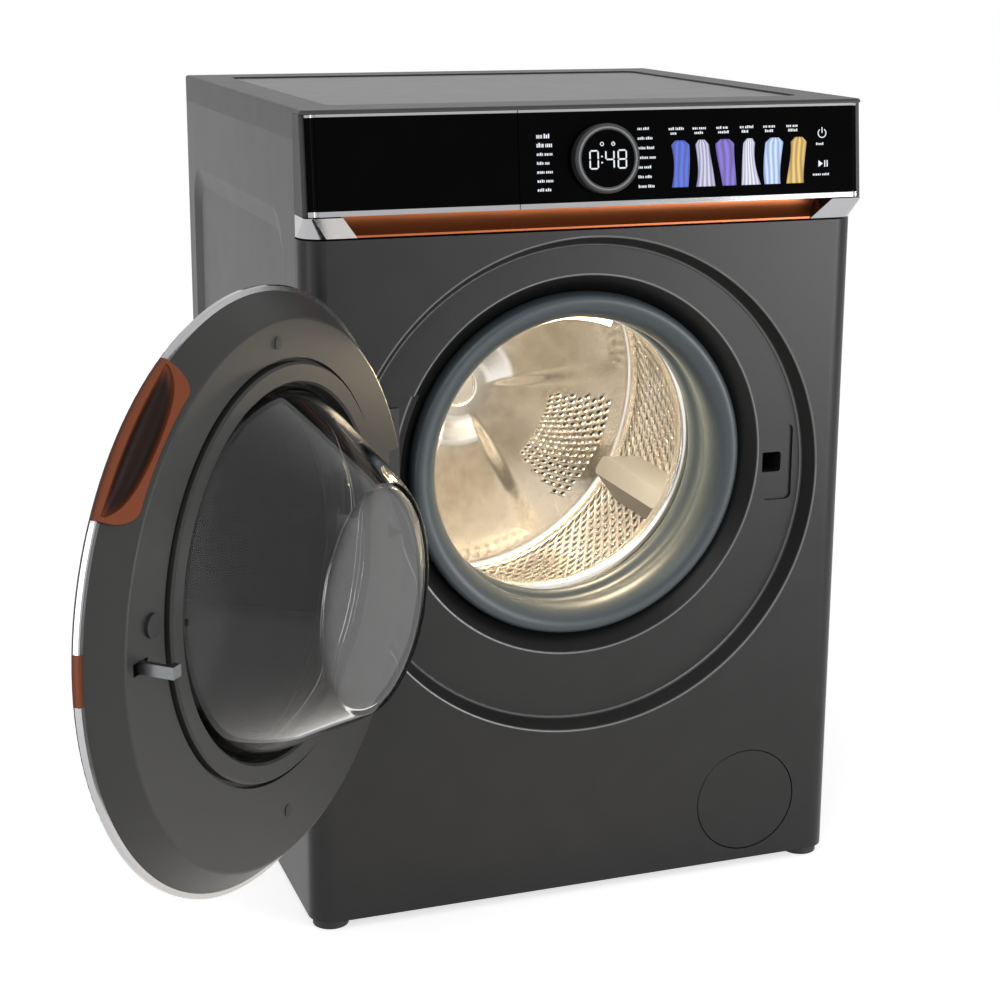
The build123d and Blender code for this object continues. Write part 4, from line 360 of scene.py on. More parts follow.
def panel_picture_finish(name):
    """Lit pictures of the display, in the colours of their own attribute."""
    made = Finish(bpy.data.materials.new(name))
    tint = made.node("ShaderNodeAttribute", {"attribute_name": "tint"}).outputs["Color"]
    made.put(Base_Color=(0.02, 0.02, 0.02), Roughness=0.4, Emission_Color=tint, Emission_Strength=1.0)
    return made.material


def drum_steel_finish(name, base):
    """Drum steel: fine rings of brushing across the depth and soft clouds."""
    made = Finish(bpy.data.materials.new(name))
    brush = made.noise(60.0, (1.0, 30.0, 1.0), 5.0)
    cloud = made.noise(14.0, detail=2.0)
    made.put(Base_Color=made.tint(shaded(base, 0.86), base, brush * 0.6 + cloud * 0.4), Metallic=1.0,
             Roughness=brush * 0.16 + 0.14, Normal=made.relief(brush, 0.05))
    return made.material


def make_finishes():
    """All finishes by the record's slot names."""
    tone = bpy.context.scene.washer_colours
    return {
        "graphite_metal": cabinet_finish("graphite_metal", tone.graphite),
        "graphite_plastic": solid_finish("graphite_plastic", tone.graphite_plastic, 1800.0, shade=0.08,
                                         rough=(0.42, 0.52), depth=0.06, gloss=0.35),
        "top_board": solid_finish("top_board", tone.top_board, 1600.0, shade=0.1, rough=(0.34, 0.42),
                                  metallic=0.3, depth=0.04),
        "black_glass": solid_finish("black_glass", tone.black_glass, 40.0, shade=0.15, rough=(0.05, 0.1),
                                    gloss=0.02),
        "chrome": solid_finish("chrome", tone.chrome, 300.0, (0.05, 1.0, 1.0), 0.04, (0.08, 0.16), 1.0, 0.01),
        "copper_brown": solid_finish("copper_brown", tone.copper, 900.0, (0.02, 1.0, 1.0), 0.12, (0.3, 0.42),
                                     0.7, 0.03),
        "handle_brown": handle_finish("handle_brown", tone.handle),
        "dark_plastic": solid_finish("dark_plastic", tone.dark_plastic, 1800.0, rough=(0.45, 0.6),
                                     depth=0.08),
        "grey_plastic": solid_finish("grey_plastic", tone.grey_plastic, 1200.0, rough=(0.45, 0.6),
                                     depth=0.08),
        "white_plastic": solid_finish("white_plastic", tone.white_plastic, 1200.0, shade=0.04,
                                      rough=(0.3, 0.42), depth=0.05),
        "door_grey": solid_finish("door_grey", tone.door, 1600.0, shade=0.09, rough=(0.4, 0.5), metallic=0.25,
                                  depth=0.05, gloss=0.3),
        "gasket_grey": solid_finish("gasket_grey", tone.gasket, 500.0, shade=0.1, rough=(0.34, 0.5),
                                    depth=0.05),
        "black_rubber": solid_finish("black_rubber", tone.rubber, 900.0, rough=(0.5, 0.7), depth=0.1),
        "stainless": drum_steel_finish("stainless", tone.steel),
        "zinc_steel": solid_finish("zinc_steel", tone.zinc, 220.0, shade=0.12, rough=(0.28, 0.42),
                                   metallic=1.0, depth=0.04),
        "weight_iron": solid_finish("weight_iron", tone.iron, 300.0, shade=0.2, rough=(0.7, 0.9), depth=0.5),
        "motor_aluminium": solid_finish("motor_aluminium", tone.aluminium, 500.0, shade=0.1,
                                        rough=(0.36, 0.5), metallic=1.0, depth=0.15),
        "bowl_glass": glass_finish("bowl_glass", (0.72, 0.72, 0.72)),
        "window_glass": solid_finish("window_glass", (0.006, 0.006, 0.007), 30.0, shade=0.1,
                                     rough=(0.04, 0.08), gloss=0.1),
        "lamp_lens": lit_finish("lamp_lens", tone.lamp, 6.0),
        "signs": lit_finish("signs", tone.signs, 1.0),
        "pictures": panel_picture_finish("pictures"),
    }


FINISHES = {}


def whole_mesh(name, points, groups, smooth=True):
    """Mesh of points in millimetres and groups of faces, each group a table of corner numbers."""
    mesh = bpy.data.meshes.new(name)
    sizes = np.concatenate([np.full(len(group), group.shape[1]) for group in groups])
    mesh.vertices.add(len(points))
    mesh.vertices.foreach_set("co", (points * MM).astype(np.float32).ravel())
    mesh.loops.add(int(sizes.sum()))
    corners = np.concatenate([group.ravel() for group in groups])
    mesh.loops.foreach_set("vertex_index", corners.astype(np.int32))
    mesh.polygons.add(len(sizes))
    mesh.polygons.foreach_set("loop_start", np.concatenate([[0], np.cumsum(sizes)[:-1]]).astype(np.int32))
    mesh.polygons.foreach_set("use_smooth", np.full(len(sizes), smooth))
    mesh.update(calc_edges=True)
    return mesh


def weld(mesh, gap=1e-6):
    """Joins points that coincide, so that seams and poles are closed."""
    work = bmesh.new()
    work.from_mesh(mesh)
    bmesh.ops.remove_doubles(work, verts=work.verts, dist=gap)
    work.to_mesh(mesh)
    work.free()


def piece(mesh, finish, replaces=(), thick=0.0, offset=-1.0):
    """Object of a mesh with a finish and its slot; it may stand for CAD nodes and get a wall."""
    item = bpy.data.objects.new(mesh.name, mesh)
    bpy.context.scene.collection.objects.link(item)
    mesh.materials.append(FINISHES[finish])
    if replaces:
        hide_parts(*replaces)
    if thick:
        wall = item.modifiers.new("wall", "SOLIDIFY")
        wall.thickness, wall.offset = thick, offset
    return item


def grid_faces(rows, columns, close_rows=False, close_columns=False, flip=False):
    """Quads of a grid of points: row i, column j to row i + 1, column j + 1, closed round if asked."""
    index = np.arange(rows * columns).reshape(rows, columns)
    row = np.arange(rows if close_rows else rows - 1)[:, None]
    column = np.arange(columns if close_columns else columns - 1)[None, :]
    up, across = (row + 1) % rows, (column + 1) % columns
    quads = np.stack([index[row, column], index[up, column], index[up, across], index[row, across]], -1)
    quads = quads.reshape(-1, 4)
    return quads[:, ::-1] if flip else quads


def rounded(path, rounds=3):
    """A path whose corners are cut at the quarter points, again and again, with its ends kept."""
    for _ in range(rounds):
        first, second = path[:-1], path[1:]
        cut = np.stack([0.75 * first + 0.25 * second, 0.25 * first + 0.75 * second], 1)
        path = np.concatenate([path[:1], cut.reshape(-1, path.shape[1])[1:-1], path[-1:]])
    return path


def path_normals(path):
    """Unit normals of a path in the plane, to its left."""
    run = np.gradient(path, axis=0)
    run /= np.linalg.norm(run, axis=1, keepdims=True)
    return np.stack([-run[:, 1], run[:, 0]], 1)


def turned(path, steps, height=PORT_Z):
    """Path of depth and radius turned about the level axis: x = r cos a, y = depth, z = h + r sin a."""
    angle = np.linspace(0.0, 2.0 * np.pi, steps, endpoint=False)
    depth, radius = path[:, :1], path[:, 1:2]
    return np.stack([radius * np.cos(angle), depth + 0.0 * angle, height + radius * np.sin(angle)], -1)


def swung(points):
    """Points of the closed door carried to the open door: turned about the hinge line."""
    turn = np.array([[np.cos(DOOR_OPEN), np.sin(DOOR_OPEN)], [-np.sin(DOOR_OPEN), np.cos(DOOR_OPEN)]])
    moved = points.copy()
    moved[..., :2] = (points[..., :2] - HINGE) @ turn.T + HINGE
    return moved


def on_panel(across, up, out):
    """Points on the slanted control panel: across, up along its face and out from it."""
    across, up, out = np.broadcast_arrays(across, up, out)
    return PANEL_FOOT + np.stack([
        across, up * np.sin(PANEL_TILT) - out * np.cos(PANEL_TILT),
        up * np.cos(PANEL_TILT) + out * np.sin(PANEL_TILT)], -1)


GASKET_PATH = np.array([
    (-238.5, 182.2), (-261.0, 182.2), (-261.0, 168.0), (-245.5, 155.5), (-230.5, 157.0), (-219.0, 164.0),
    (-209.0, 163.0), (-202.0, 154.0), (-193.0, 154.5), (-186.0, 168.0), (-178.8, 170.0)])
GASKET_BEADS = (0.165, 0.225, 0.36)
BEAD_WIDTH = 0.012
GASKET_STEPS = 192


def gasket_mesh():
    """Gasket: a closed section, the centre line drawn out by half the wall to both sides, turned.

    Beads stand on the crest and the lip: the half wall grows by a bell curve along the path.
    """
    sizes = bpy.context.scene.washer_sizes
    path = rounded(GASKET_PATH)
    along = np.linspace(0.0, 1.0, len(path))
    bead = sum(np.exp(-((along - place) / BEAD_WIDTH) ** 2) for place in GASKET_BEADS)
    half = sizes.gasket_wall / MM / 2.0
    normal = path_normals(path)
    outer = path - normal * half
    inner = path + normal * (half + bead * sizes.bead_h / MM)[:, None]
    loop = np.concatenate([outer, inner[::-1]])
    points = turned(loop, GASKET_STEPS)
    faces = grid_faces(len(loop), GASKET_STEPS, True, True, True)
    return whole_mesh("door_gasket", points.reshape(-1, 3), [faces])


def pierced_sheet(name, place, rows, columns, hole, keep, flip=False):
    """Sheet with a hole in each kept cell of a grid that closes on itself across the columns.

    Each cell has eight points on its border and eight on its hole, at hole times the half cell; place maps
    the grid's column and row numbers to points.
    """
    turn = np.arange(8) * np.pi / 4.0
    border = np.stack([np.cos(turn), np.sin(turn)], 1)
    border = border / np.abs(border).max(1, keepdims=True) / 2.0
    row, column = np.mgrid[0:rows, 0:columns]
    centre = np.stack([column, row], -1)[..., None, :] + 0.5
    edge = centre + border
    rim = centre + hole * np.stack([np.cos(turn), np.sin(turn)], 1)
    edge_points = place(edge[..., 0], edge[..., 1]).reshape(-1, 3)
    rim_points = place(rim[..., 0], rim[..., 1])[keep].reshape(-1, 3)
    corners = np.arange(rows * columns * 8).reshape(rows, columns, 8)
    inner = len(edge_points) + np.arange(len(rim_points)).reshape(-1, 8)
    outer = corners[keep]
    rings = np.stack([outer, np.roll(outer, -1, 1), np.roll(inner, -1, 1), inner], -1).reshape(-1, 4)
    plain = corners[~keep]
    if flip:
        rings, plain = rings[:, ::-1], plain[:, ::-1]
    mesh = whole_mesh(name, np.concatenate([edge_points, rim_points]), [rings, plain])
    weld(mesh, 2e-5)
    return mesh


DRUM_WALL = 1.2
WALL_START = 22.0
WALL_END = 10.0
BACK_FORWARD = 1.4
BACK_CORNER = 12.0
HUB_R = 20.0
TURN_SHARE = 0.06
ARM_TURN = np.radians(30.0)
BACK_HOLE = 0.24
MOUTH_STEPS = 216


def drum_wall_mesh():
    """Drum wall: rows of holes set between each other, with a low pearl between every four holes."""
    sizes = bpy.context.scene.washer_sizes
    rows, columns = 24, 108
    start, end = DRUM_Y + WALL_START, DRUM_END_Y - WALL_END
    cell = (end - start) / rows

    def place(column, row):
        angle = 2.0 * np.pi * (column + 0.5 * row) / columns
        swell = 0.25 * (1.0 + np.cos(2.0 * np.pi * column)) * (1.0 + np.cos(2.0 * np.pi * row))
        radius = DRUM_R - swell * sizes.pearl_h / MM
        return np.stack([radius * np.cos(angle), start + cell * row, PORT_Z + radius * np.sin(angle)], -1)

    keep = np.ones((rows, columns), bool)
    return pierced_sheet("drum_wall", place, rows, columns, sizes.hole_r / MM / cell, keep, True)


def drum_back_mesh():
    """Drum back: a disc with three broad arms pressed inward and patches of holes between them.

    The arm's height is a smooth step of cos 3a, faded out at the hub and at the rim, where the disc turns
    forward into the wall by a quarter round.
    """
    sizes = bpy.context.scene.washer_sizes
    rows, columns = 22, 126
    flat = DRUM_R - BACK_CORNER

    def place(column, row):
        angle = 2.0 * np.pi * (column + 0.5 * row) / columns
        along = row / rows
        reach = along * (1.0 + TURN_SHARE)
        radius = np.minimum(HUB_R + (flat - HUB_R) * reach, flat)
        bend = np.clip((reach - 1.0) / TURN_SHARE, 0.0, 1.0) * np.pi / 2.0
        lobe = np.clip((np.cos(3.0 * (angle - ARM_TURN)) + 0.1) / 0.5, 0.0, 1.0)
        lobe = lobe * lobe * (3.0 - 2.0 * lobe)
        fade = np.clip((radius - 40.0) / 30.0, 0.0, 1.0) * np.clip((flat - 4.0 - radius) / 26.0, 0.0, 1.0)
        depth = DRUM_END_Y - BACK_FORWARD - sizes.arm_h / MM * lobe * fade
        depth = depth - BACK_CORNER * (1.0 - np.cos(bend))
        radius = radius + BACK_CORNER * np.sin(bend)
        return np.stack([radius * np.cos(angle), depth, PORT_Z + radius * np.sin(angle)], -1)

    row, column = np.mgrid[0:rows, 0:columns]
    angle = 2.0 * np.pi * (column + 0.5 * row) / columns
    between = np.cos(3.0 * (angle - ARM_TURN)) < -0.45
    keep = between & (row >= 10) & (row <= 18)
    return pierced_sheet("drum_back", place, rows, columns, BACK_HOLE, keep, True)


def drum_mouth_mesh():
    """Drum front: the rolled mouth, the flat front and the round turn into the wall, turned."""
    path = rounded(np.array([
        (13.0, 162.0), (14.0, 157.5), (9.0, 155.5), (0.0, 161.0), (0.0, 170.0), (1.0, 190.0), (0.0, 214.0),
        (4.0, 234.0), (16.0, DRUM_R), (WALL_START, DRUM_R)]) + (DRUM_Y, 0.0))
    points = turned(path, MOUTH_STEPS)
    faces = grid_faces(len(path), MOUTH_STEPS, False, True, True)
    return whole_mesh("drum_mouth", points.reshape(-1, 3), [faces])


BOWL_STEPS = np.array([(0.0, 0.0), (0.15, 0.07), (0.35, 0.27), (0.6, 0.53), (0.85, 0.79), (0.96, 0.92),
                       (1.0, 1.0)])
BOWL_FLANGE = np.array([(6.0, 163.5, 0.6), (4.5, 166.0, 0.0), (4.5, 184.0, 0.0), (3.5, 185.0, 0.0),
                        (0.8, 185.0, 0.0), (0.0, 184.2, 0.0), (0.0, 160.0, 0.0)])
BOWL_TURNS = 144


def bowl_mesh():
    """Glass bowl: circles that narrow and drop along the depth to a flat end, with a wall and a flange.

    The path gives depth, radius and drop of the circles; the outer wall runs from the end to the flange, the
    inner one back again.
    """
    base, depth, wide, narrow, drop, wall = -281.8, 108.0, 163.0, 97.0, 12.0, 5.0
    run, share = BOWL_STEPS.T
    side = np.stack([base + depth * run, wide - (wide - narrow) * share, drop * share], 1)
    end = np.array([(base + depth, 60.0, drop), (base + depth, 0.0, drop)])
    outer = rounded(np.concatenate([side[1:], end]))
    inner = rounded(np.concatenate([side, end])) - np.array([wall, 0.0, 0.0])
    inner[:, 1] = np.maximum(inner[:, 1] - wall * np.clip(inner[:, 1] / 20.0, 0.0, 1.0), 0.0)
    path = np.concatenate([outer[::-1], BOWL_FLANGE + (base, 0.0, 0.0), inner[1:]])
    path[:, 0] = np.maximum(path[:, 0], base)
    points = turned(path[:, :2], BOWL_TURNS)
    points[..., 2] -= path[:, 2:]
    faces = grid_faces(len(path), BOWL_TURNS, False, True, True)
    mesh = whole_mesh("glass_bowl", swung(points.reshape(-1, 3)), [faces])
    weld(mesh)
    return mesh


def signs_mesh(name, groups, out):
    """Flat signs on the panel: groups of polygons given across and up, set at a height out from the face."""
    corners = np.concatenate([group.reshape(-1, 2) for group in groups])
    starts = np.cumsum([0] + [group.shape[0] * group.shape[1] for group in groups])
    faces = [start + np.arange(group.shape[0] * group.shape[1]).reshape(group.shape[:2])
             for start, group in zip(starts, groups)]
    return whole_mesh(name, on_panel(corners[:, 0], corners[:, 1], out), faces, False)


def bars(x0, x1, up0, up1):
    """Upright rectangles from arrays of their sides."""
    x0, x1, up0, up1 = np.broadcast_arrays(x0, x1, up0, up1)
    return np.stack([np.stack(pair, -1) for pair in ((x0, up0), (x1, up0), (x1, up1), (x0, up1))], -2)


def arc_strip(x, up, inner, outer, start, end, steps):
    """Quads of a ring sector about a point."""
    angle = np.radians(np.linspace(start, end, steps + 1))
    first, second = angle[:-1], angle[1:]
    return np.stack([
        np.stack([x + radius * np.cos(turn), up + radius * np.sin(turn)], -1)
        for radius, turn in ((inner, first), (outer, first), (outer, second), (inner, second))], -2)


SEGMENTS = {"0": "abcdef", "4": "bcfg", "8": "abcdefg"}


def digit_bars(figure, x, up, width, height, line):
    """Seven-segment digit: six-sided bars, pointed at both ends, along the sides of two squares."""
    half = height / 2.0
    ends = {"a": ((0, 2), (1, 2)), "b": ((1, 1), (1, 2)), "c": ((1, 0), (1, 1)), "d": ((0, 0), (1, 0)),
            "e": ((0, 0), (0, 1)), "f": ((0, 1), (0, 2)), "g": ((0, 1), (1, 1))}
    pairs = np.array([ends[key] for key in SEGMENTS[figure]], float) * (width, half) + (x, up)
    run = pairs[:, 1] - pairs[:, 0]
    run /= np.linalg.norm(run, axis=1, keepdims=True)
    side = np.stack([-run[:, 1], run[:, 0]], 1) * line / 2.0
    first, last = pairs[:, 0] + run * line * 0.25, pairs[:, 1] - run * line * 0.25
    step = run * line / 2.0
    return np.stack([first, first + step - side, last - step - side, last, last - step + side,
                     first + step + side], 1)


def word_bars(x, up, height, words, seed):
    """A line of unreadable print: small upright bars of uneven width, word by word."""
    draw = np.random.default_rng(seed)
    count = int(sum(words))
    width = draw.uniform(0.9, 1.9, count)
    space = np.full(count, 0.5)
    space[np.cumsum(words)[:-1]] = 1.6
    left = x + np.cumsum(space + width) - width - space[0]
    rise = np.where(draw.random(count) < 0.3, height * 1.3, height)
    return bars(left, left + width * 0.85, up, up + rise)


def panel_up(height):
    """Distance up the slanted panel of a height above the floor."""
    return (height - PANEL_FOOT[2]) / np.cos(PANEL_TILT)


SIGN_OUT = 0.05
LEFT_X, RIGHT_X = -64.0, 44.0
LINES = 7
LEFT_TOP, RIGHT_TOP, LINES_FOOT = 820.0, 825.0, 768.0
TILES = 6
TILE_STEP = 26.4
CAPTION_X = 78.0
CAPTION_UP = (823.0, 818.5)
POWER_X = 251.0
POWER_UP, START_UP = 816.0, 785.0
START_H = 3.4


def panel_signs_mesh():
    """Printed signs of the panel: two columns of programme lines, captions, power and start signs."""
    groups = []
    for line, height in enumerate(np.linspace(LEFT_TOP, LINES_FOOT, LINES)):
        tall = 3.4 if line < 2 else 2.3
        groups.append(word_bars(LEFT_X, panel_up(height) - tall / 2, tall, [4, 3 + line % 3], line))
    for line, height in enumerate(np.linspace(RIGHT_TOP, LINES_FOOT, LINES)):
        groups.append(word_bars(RIGHT_X, panel_up(height) - 1.1, 2.2, [3 + line % 4, 4], 20 + line))
    for tile in range(TILES):
        left = CAPTION_X + TILE_STEP * tile
        groups.append(word_bars(left, panel_up(CAPTION_UP[0]), 2.1, [3, 5 - tile % 3], 40 + tile))
        groups.append(word_bars(left + 2.0, panel_up(CAPTION_UP[1]), 2.1, [4 + tile % 3], 60 + tile))
    power, start = panel_up(POWER_UP), panel_up(START_UP)
    low, high = start - START_H, start + START_H
    groups += [arc_strip(POWER_X, power, 4.0, 5.0, 125.0, 415.0, 20),
               bars(POWER_X - 0.5, POWER_X + 0.5, power, power + 6.0)[None],
               np.array([[(POWER_X - 4.5, low), (POWER_X + 0.5, start), (POWER_X - 4.5, high)]]),
               bars(POWER_X + np.array([2.2, 5.0]), POWER_X + np.array([3.4, 6.2]), low, high),
               word_bars(POWER_X - 7.0, panel_up(804.0), 1.9, [5], 80),
               word_bars(POWER_X - 11.0, panel_up(773.0), 1.9, [5, 5], 81)]
    return signs_mesh("panel_signs", groups, SIGN_OUT)


DIGITS = {"0": -19.5, "4": -2.6, "8": 10.6}
DIGIT_W, DIGIT_LINE = 8.6, 1.5
COLON = np.array([5.0, 11.0])
COLON_SIDE = 1.6


def dial_signs_mesh():
    """Time on the dial's display, with its colon and two small signs above it."""
    tall = bpy.context.scene.washer_sizes.digit_h / MM
    low = DIAL_UP - tall / 2.0 - 1.0
    above = low + tall + 6.5
    groups = [digit_bars(figure, DIAL_X + x, low, DIGIT_W, tall, DIGIT_LINE) for figure, x in DIGITS.items()]
    groups += [bars(DIAL_X - 7.6, DIAL_X - 7.6 + COLON_SIDE, low + COLON, low + COLON + COLON_SIDE),
               arc_strip(DIAL_X - 6.5, above, 1.3, 2.1, 0.0, 360.0, 16),
               arc_strip(DIAL_X + 5.5, above, 1.3, 2.1, 120.0, 420.0, 16),
               bars(DIAL_X + 5.1, DIAL_X + 5.9, above, above + 2.5)[None]]
    return signs_mesh("dial_time", groups, DIAL_OUT + SIGN_OUT)


PICTURES = (  # colour, shade of folds, hem, waist, shoulder, waves
    ((40, 92, 235), (10, 22, 90), 0.82, 0.62, 0.95, 3.0),
    ((214, 214, 236), (60, 50, 120), 0.95, 0.5, 0.7, 4.0),
    ((120, 90, 220), (36, 20, 96), 0.7, 0.75, 0.98, 2.5),
    ((236, 238, 246), (90, 100, 150), 0.98, 0.45, 0.6, 5.0),
    ((206, 226, 250), (84, 120, 190), 0.8, 0.8, 0.92, 3.5),
    ((238, 196, 70), (110, 70, 20), 0.9, 0.58, 0.85, 3.0),
)
PICTURE_X = 89.5
PICTURE_HALF = 11.2
PICTURE_FOOT, PICTURE_H = 766.0, 47.0
NECK = 0.9


def pictures_mesh():
    """Six lit pictures of hanging clothes: an outline narrowing and widening with height, folded by waves.

    Across goes from side to side of the outline, up from hem to neck; folds shade the colour as a sine of
    the distance across, bent by height.
    """
    across, up = np.meshgrid(np.linspace(-1.0, 1.0, 25), np.linspace(0.0, 1.0, 33))
    points, tints = [], []
    for tile, (bright, dark, hem, waist, shoulder, waves) in enumerate(PICTURES):
        half = PICTURE_HALF * (hem * (1 - up) ** 2 + 2.2 * waist * up * (1 - up) + shoulder * up ** 2)
        half = half * np.where(up > NECK, 1.0 - 5.5 * (up - NECK), 1.0)
        sway = 2.4 * np.sin(3.0 * up + tile)
        middle = PICTURE_X + TILE_STEP * tile
        fold = 0.5 + 0.5 * np.sin(waves * np.pi * across + 2.2 * np.sin(4.0 * up + tile) + tile)
        light = (0.25 + 0.75 * fold) * (1.0 - 0.55 * np.abs(across) ** 3)
        high = panel_up(PICTURE_FOOT) + PICTURE_H * up
        points.append(on_panel(middle + half * across + sway, high, SIGN_OUT))
        deep = np.array(linear(*dark))
        tints.append(deep + light[..., None] * (linear(*bright) - deep))
    quads = grid_faces(*across.shape, flip=True)
    faces = np.concatenate([quads + tile * across.size for tile in range(len(PICTURES))])
    mesh = whole_mesh("display_pictures", np.concatenate([part.reshape(-1, 3) for part in points]), [faces])
    tint = np.concatenate([part.reshape(-1, 3) for part in tints])
    layer = mesh.attributes.new("tint", "FLOAT_COLOR", "POINT")
    layer.data.foreach_set("color", np.hstack([tint, np.ones((len(tint), 1))]).astype(np.float32).ravel())
    return mesh


BEZEL_R = 30.6
BEZEL_HALF = (0.9, 0.45)
BEZEL_GRID = (12, 120)


def bezel_mesh():
    """Bright bezel on the dial's front edge: a half-round section turned about the dial's axis."""
    turn, angle = (np.linspace(0.0, 2.0 * np.pi, steps, endpoint=False) for steps in BEZEL_GRID)
    radius = (BEZEL_R + BEZEL_HALF[0] * np.cos(turn))[:, None]
    out = (DIAL_OUT + BEZEL_HALF[1] * np.sin(turn))[:, None]
    points = on_panel(DIAL_X + radius * np.cos(angle), DIAL_UP + radius * np.sin(angle), out)
    return whole_mesh("dial_bezel", points.reshape(-1, 3), [grid_faces(*BEZEL_GRID, True, True)])


def tube_points(path, radius, sides):
    """Round tube along a path: rings square to the path, the first side turned as little as can be.

    The ring's directions come from the run and a fixed direction across it.
    """
    run = np.gradient(path, axis=0)
    run /= np.linalg.norm(run, axis=1, keepdims=True)
    fixed = np.where(np.abs(run[:, :1]) < 0.9, np.array([[1.0, 0.0, 0.0]]), np.array([[0.0, 1.0, 0.0]]))
    first = np.cross(run, fixed)
    first /= np.linalg.norm(first, axis=1, keepdims=True)
    second = np.cross(run, first)
    angle = np.linspace(0.0, 2.0 * np.pi, sides, endpoint=False)
    ring = (first[:, None] * np.cos(angle)[:, None] + second[:, None] * np.sin(angle)[:, None])
    return path[:, None] + ring * np.asarray(radius).reshape(-1, 1, 1)


def closed_tube(name, path, radius, sides):
    """Tube along a path with both ends drawn to a point and welded shut."""
    path = np.concatenate([path[:1], path, path[-1:]])
    path[0] -= (path[2] - path[1]) * 1e-3
    path[-1] += (path[-2] - path[-3]) * 1e-3
    radius = np.concatenate([[0.0], np.broadcast_to(radius, len(path) - 2), [0.0]])
    points = tube_points(path, radius, sides)
    mesh = whole_mesh(name, points.reshape(-1, 3), [grid_faces(len(path), sides, False, True)])
    weld(mesh)
    return mesh


COIL_R = 7.3
COIL_TURNS = 26.0
COIL_POINTS = 520
RIB_STEP = 6.0
HOSE_STEP = 1.5


def spring_mesh(name, x, y, low, high):
    """Coil spring: a wire along a helix whose radius falls in to the middle at both ends."""
    wire = bpy.context.scene.washer_sizes.wire_r / MM
    along = np.linspace(0.0, 1.0, COIL_POINTS)
    radius = COIL_R * np.clip(np.minimum(along, 1.0 - along) / 0.06, 0.12, 1.0)
    turn = 2.0 * np.pi * COIL_TURNS * along
    path = np.stack([x + radius * np.cos(turn), y + radius * np.sin(turn),
                     low + wire + (high - low - 2.0 * wire) * along], 1)
    return closed_tube(name, path, wire, 8)


def hose_mesh(name, route, radius, plain):
    """Ribbed hose: a tube along the route whose radius rises and falls along it, plain at both cuffs."""
    rib = bpy.context.scene.washer_sizes.rib_h / MM
    route = rounded(np.array(route, float), 4)
    reach = np.concatenate([[0.0], np.cumsum(np.linalg.norm(np.diff(route, axis=0), axis=1))])
    steps = np.linspace(0.0, reach[-1], max(24, int(reach[-1] / HOSE_STEP)))
    path = np.stack([np.interp(steps, reach, route[:, axis]) for axis in range(3)], 1)
    cuff = np.clip(np.minimum(steps, reach[-1] - steps) / plain - 1.0, 0.0, 1.0)
    wave = radius - rib * cuff * (0.5 - 0.5 * np.cos(2.0 * np.pi * steps / RIB_STEP))
    return closed_tube(name, path, wave, 24)


def upright(x, y, heights):
    """Route of a hose that stands straight up."""
    return [(x, y, height) for height in heights]


NODE_FINISH = {"hinge_bracket": "graphite_plastic"}


class WASHER_OT_finishes(bpy.types.Operator):
    """Gives every CAD node the finish of its slot, and the painted hinge bracket that of the frame."""

    bl_idname = "washer.finishes"
    bl_label = "Finishes"

    def execute(self, context):
        FINISHES.update(make_finishes())
        for part in frame["record"]["subparts"]:
            skin = NODES[part["node"]].data.materials
            skin.clear()
            skin.append(FINISHES[NODE_FINISH.get(part["node"], part["material_slot"])])
        return {"FINISHED"}


class WASHER_OT_gasket(bpy.types.Operator):
    """Makes the door gasket between the cabinet and the tub."""

    bl_idname = "washer.gasket"
    bl_label = "Gasket"

    def execute(self, context):
        item = piece(gasket_mesh(), "gasket_grey", ("gasket",))
        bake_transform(item)
        return {"FINISHED"}


class WASHER_OT_drum(bpy.types.Operator):
    """Makes the pierced drum wall, its back and its rolled mouth."""

    bl_idname = "washer.drum"
    bl_label = "Drum"

    def execute(self, context):
        for mesh in (drum_wall_mesh(), drum_back_mesh(), drum_mouth_mesh()):
            item = piece(mesh, "stainless", ("drum_shell",), DRUM_WALL * MM)
            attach(item, "drum")
        return {"FINISHED"}


class WASHER_OT_bowl(bpy.types.Operator):
    """Makes the door's glass bowl."""

    bl_idname = "washer.bowl"
    bl_label = "Glass bowl"

    def execute(self, context):
        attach(piece(bowl_mesh(), "bowl_glass", ("door_glass_bowl",)), "door")
        return {"FINISHED"}


class WASHER_OT_display(bpy.types.Operator):
    """Makes the lit signs, the time and the pictures of the control panel."""

    bl_idname = "washer.display"
    bl_label = "Display"

    def execute(self, context):
        thick = context.scene.washer_sizes.sign_t
        for mesh, finish in ((panel_signs_mesh(), "signs"), (dial_signs_mesh(), "signs"),
                             (pictures_mesh(), "pictures")):
            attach(piece(mesh, finish, thick=thick, offset=1.0), "cabinet")
        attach(piece(bezel_mesh(), "grey_plastic"), "dial")
        return {"FINISHED"}


SPRING_X, SPRING_Y = 277.0, 75.0
SPRING_ENDS = (599.9, 796.0)
PUMP_X, SUMP_Y, DRAIN_Y = 194.0, -162.2, -220.5
DRAIN_ROUTE = [(PUMP_X, DRAIN_Y, 117.0), (PUMP_X, DRAIN_Y, 176.0), (277.0, DRAIN_Y, 236.0),
               (277.0, DRAIN_Y, 554.6), (277.0, 120.0, 554.6), (277.0, 296.0, 554.6)]
WATER_X, FILL_Y, FEED_Z = -190.0, -95.5, 780.0


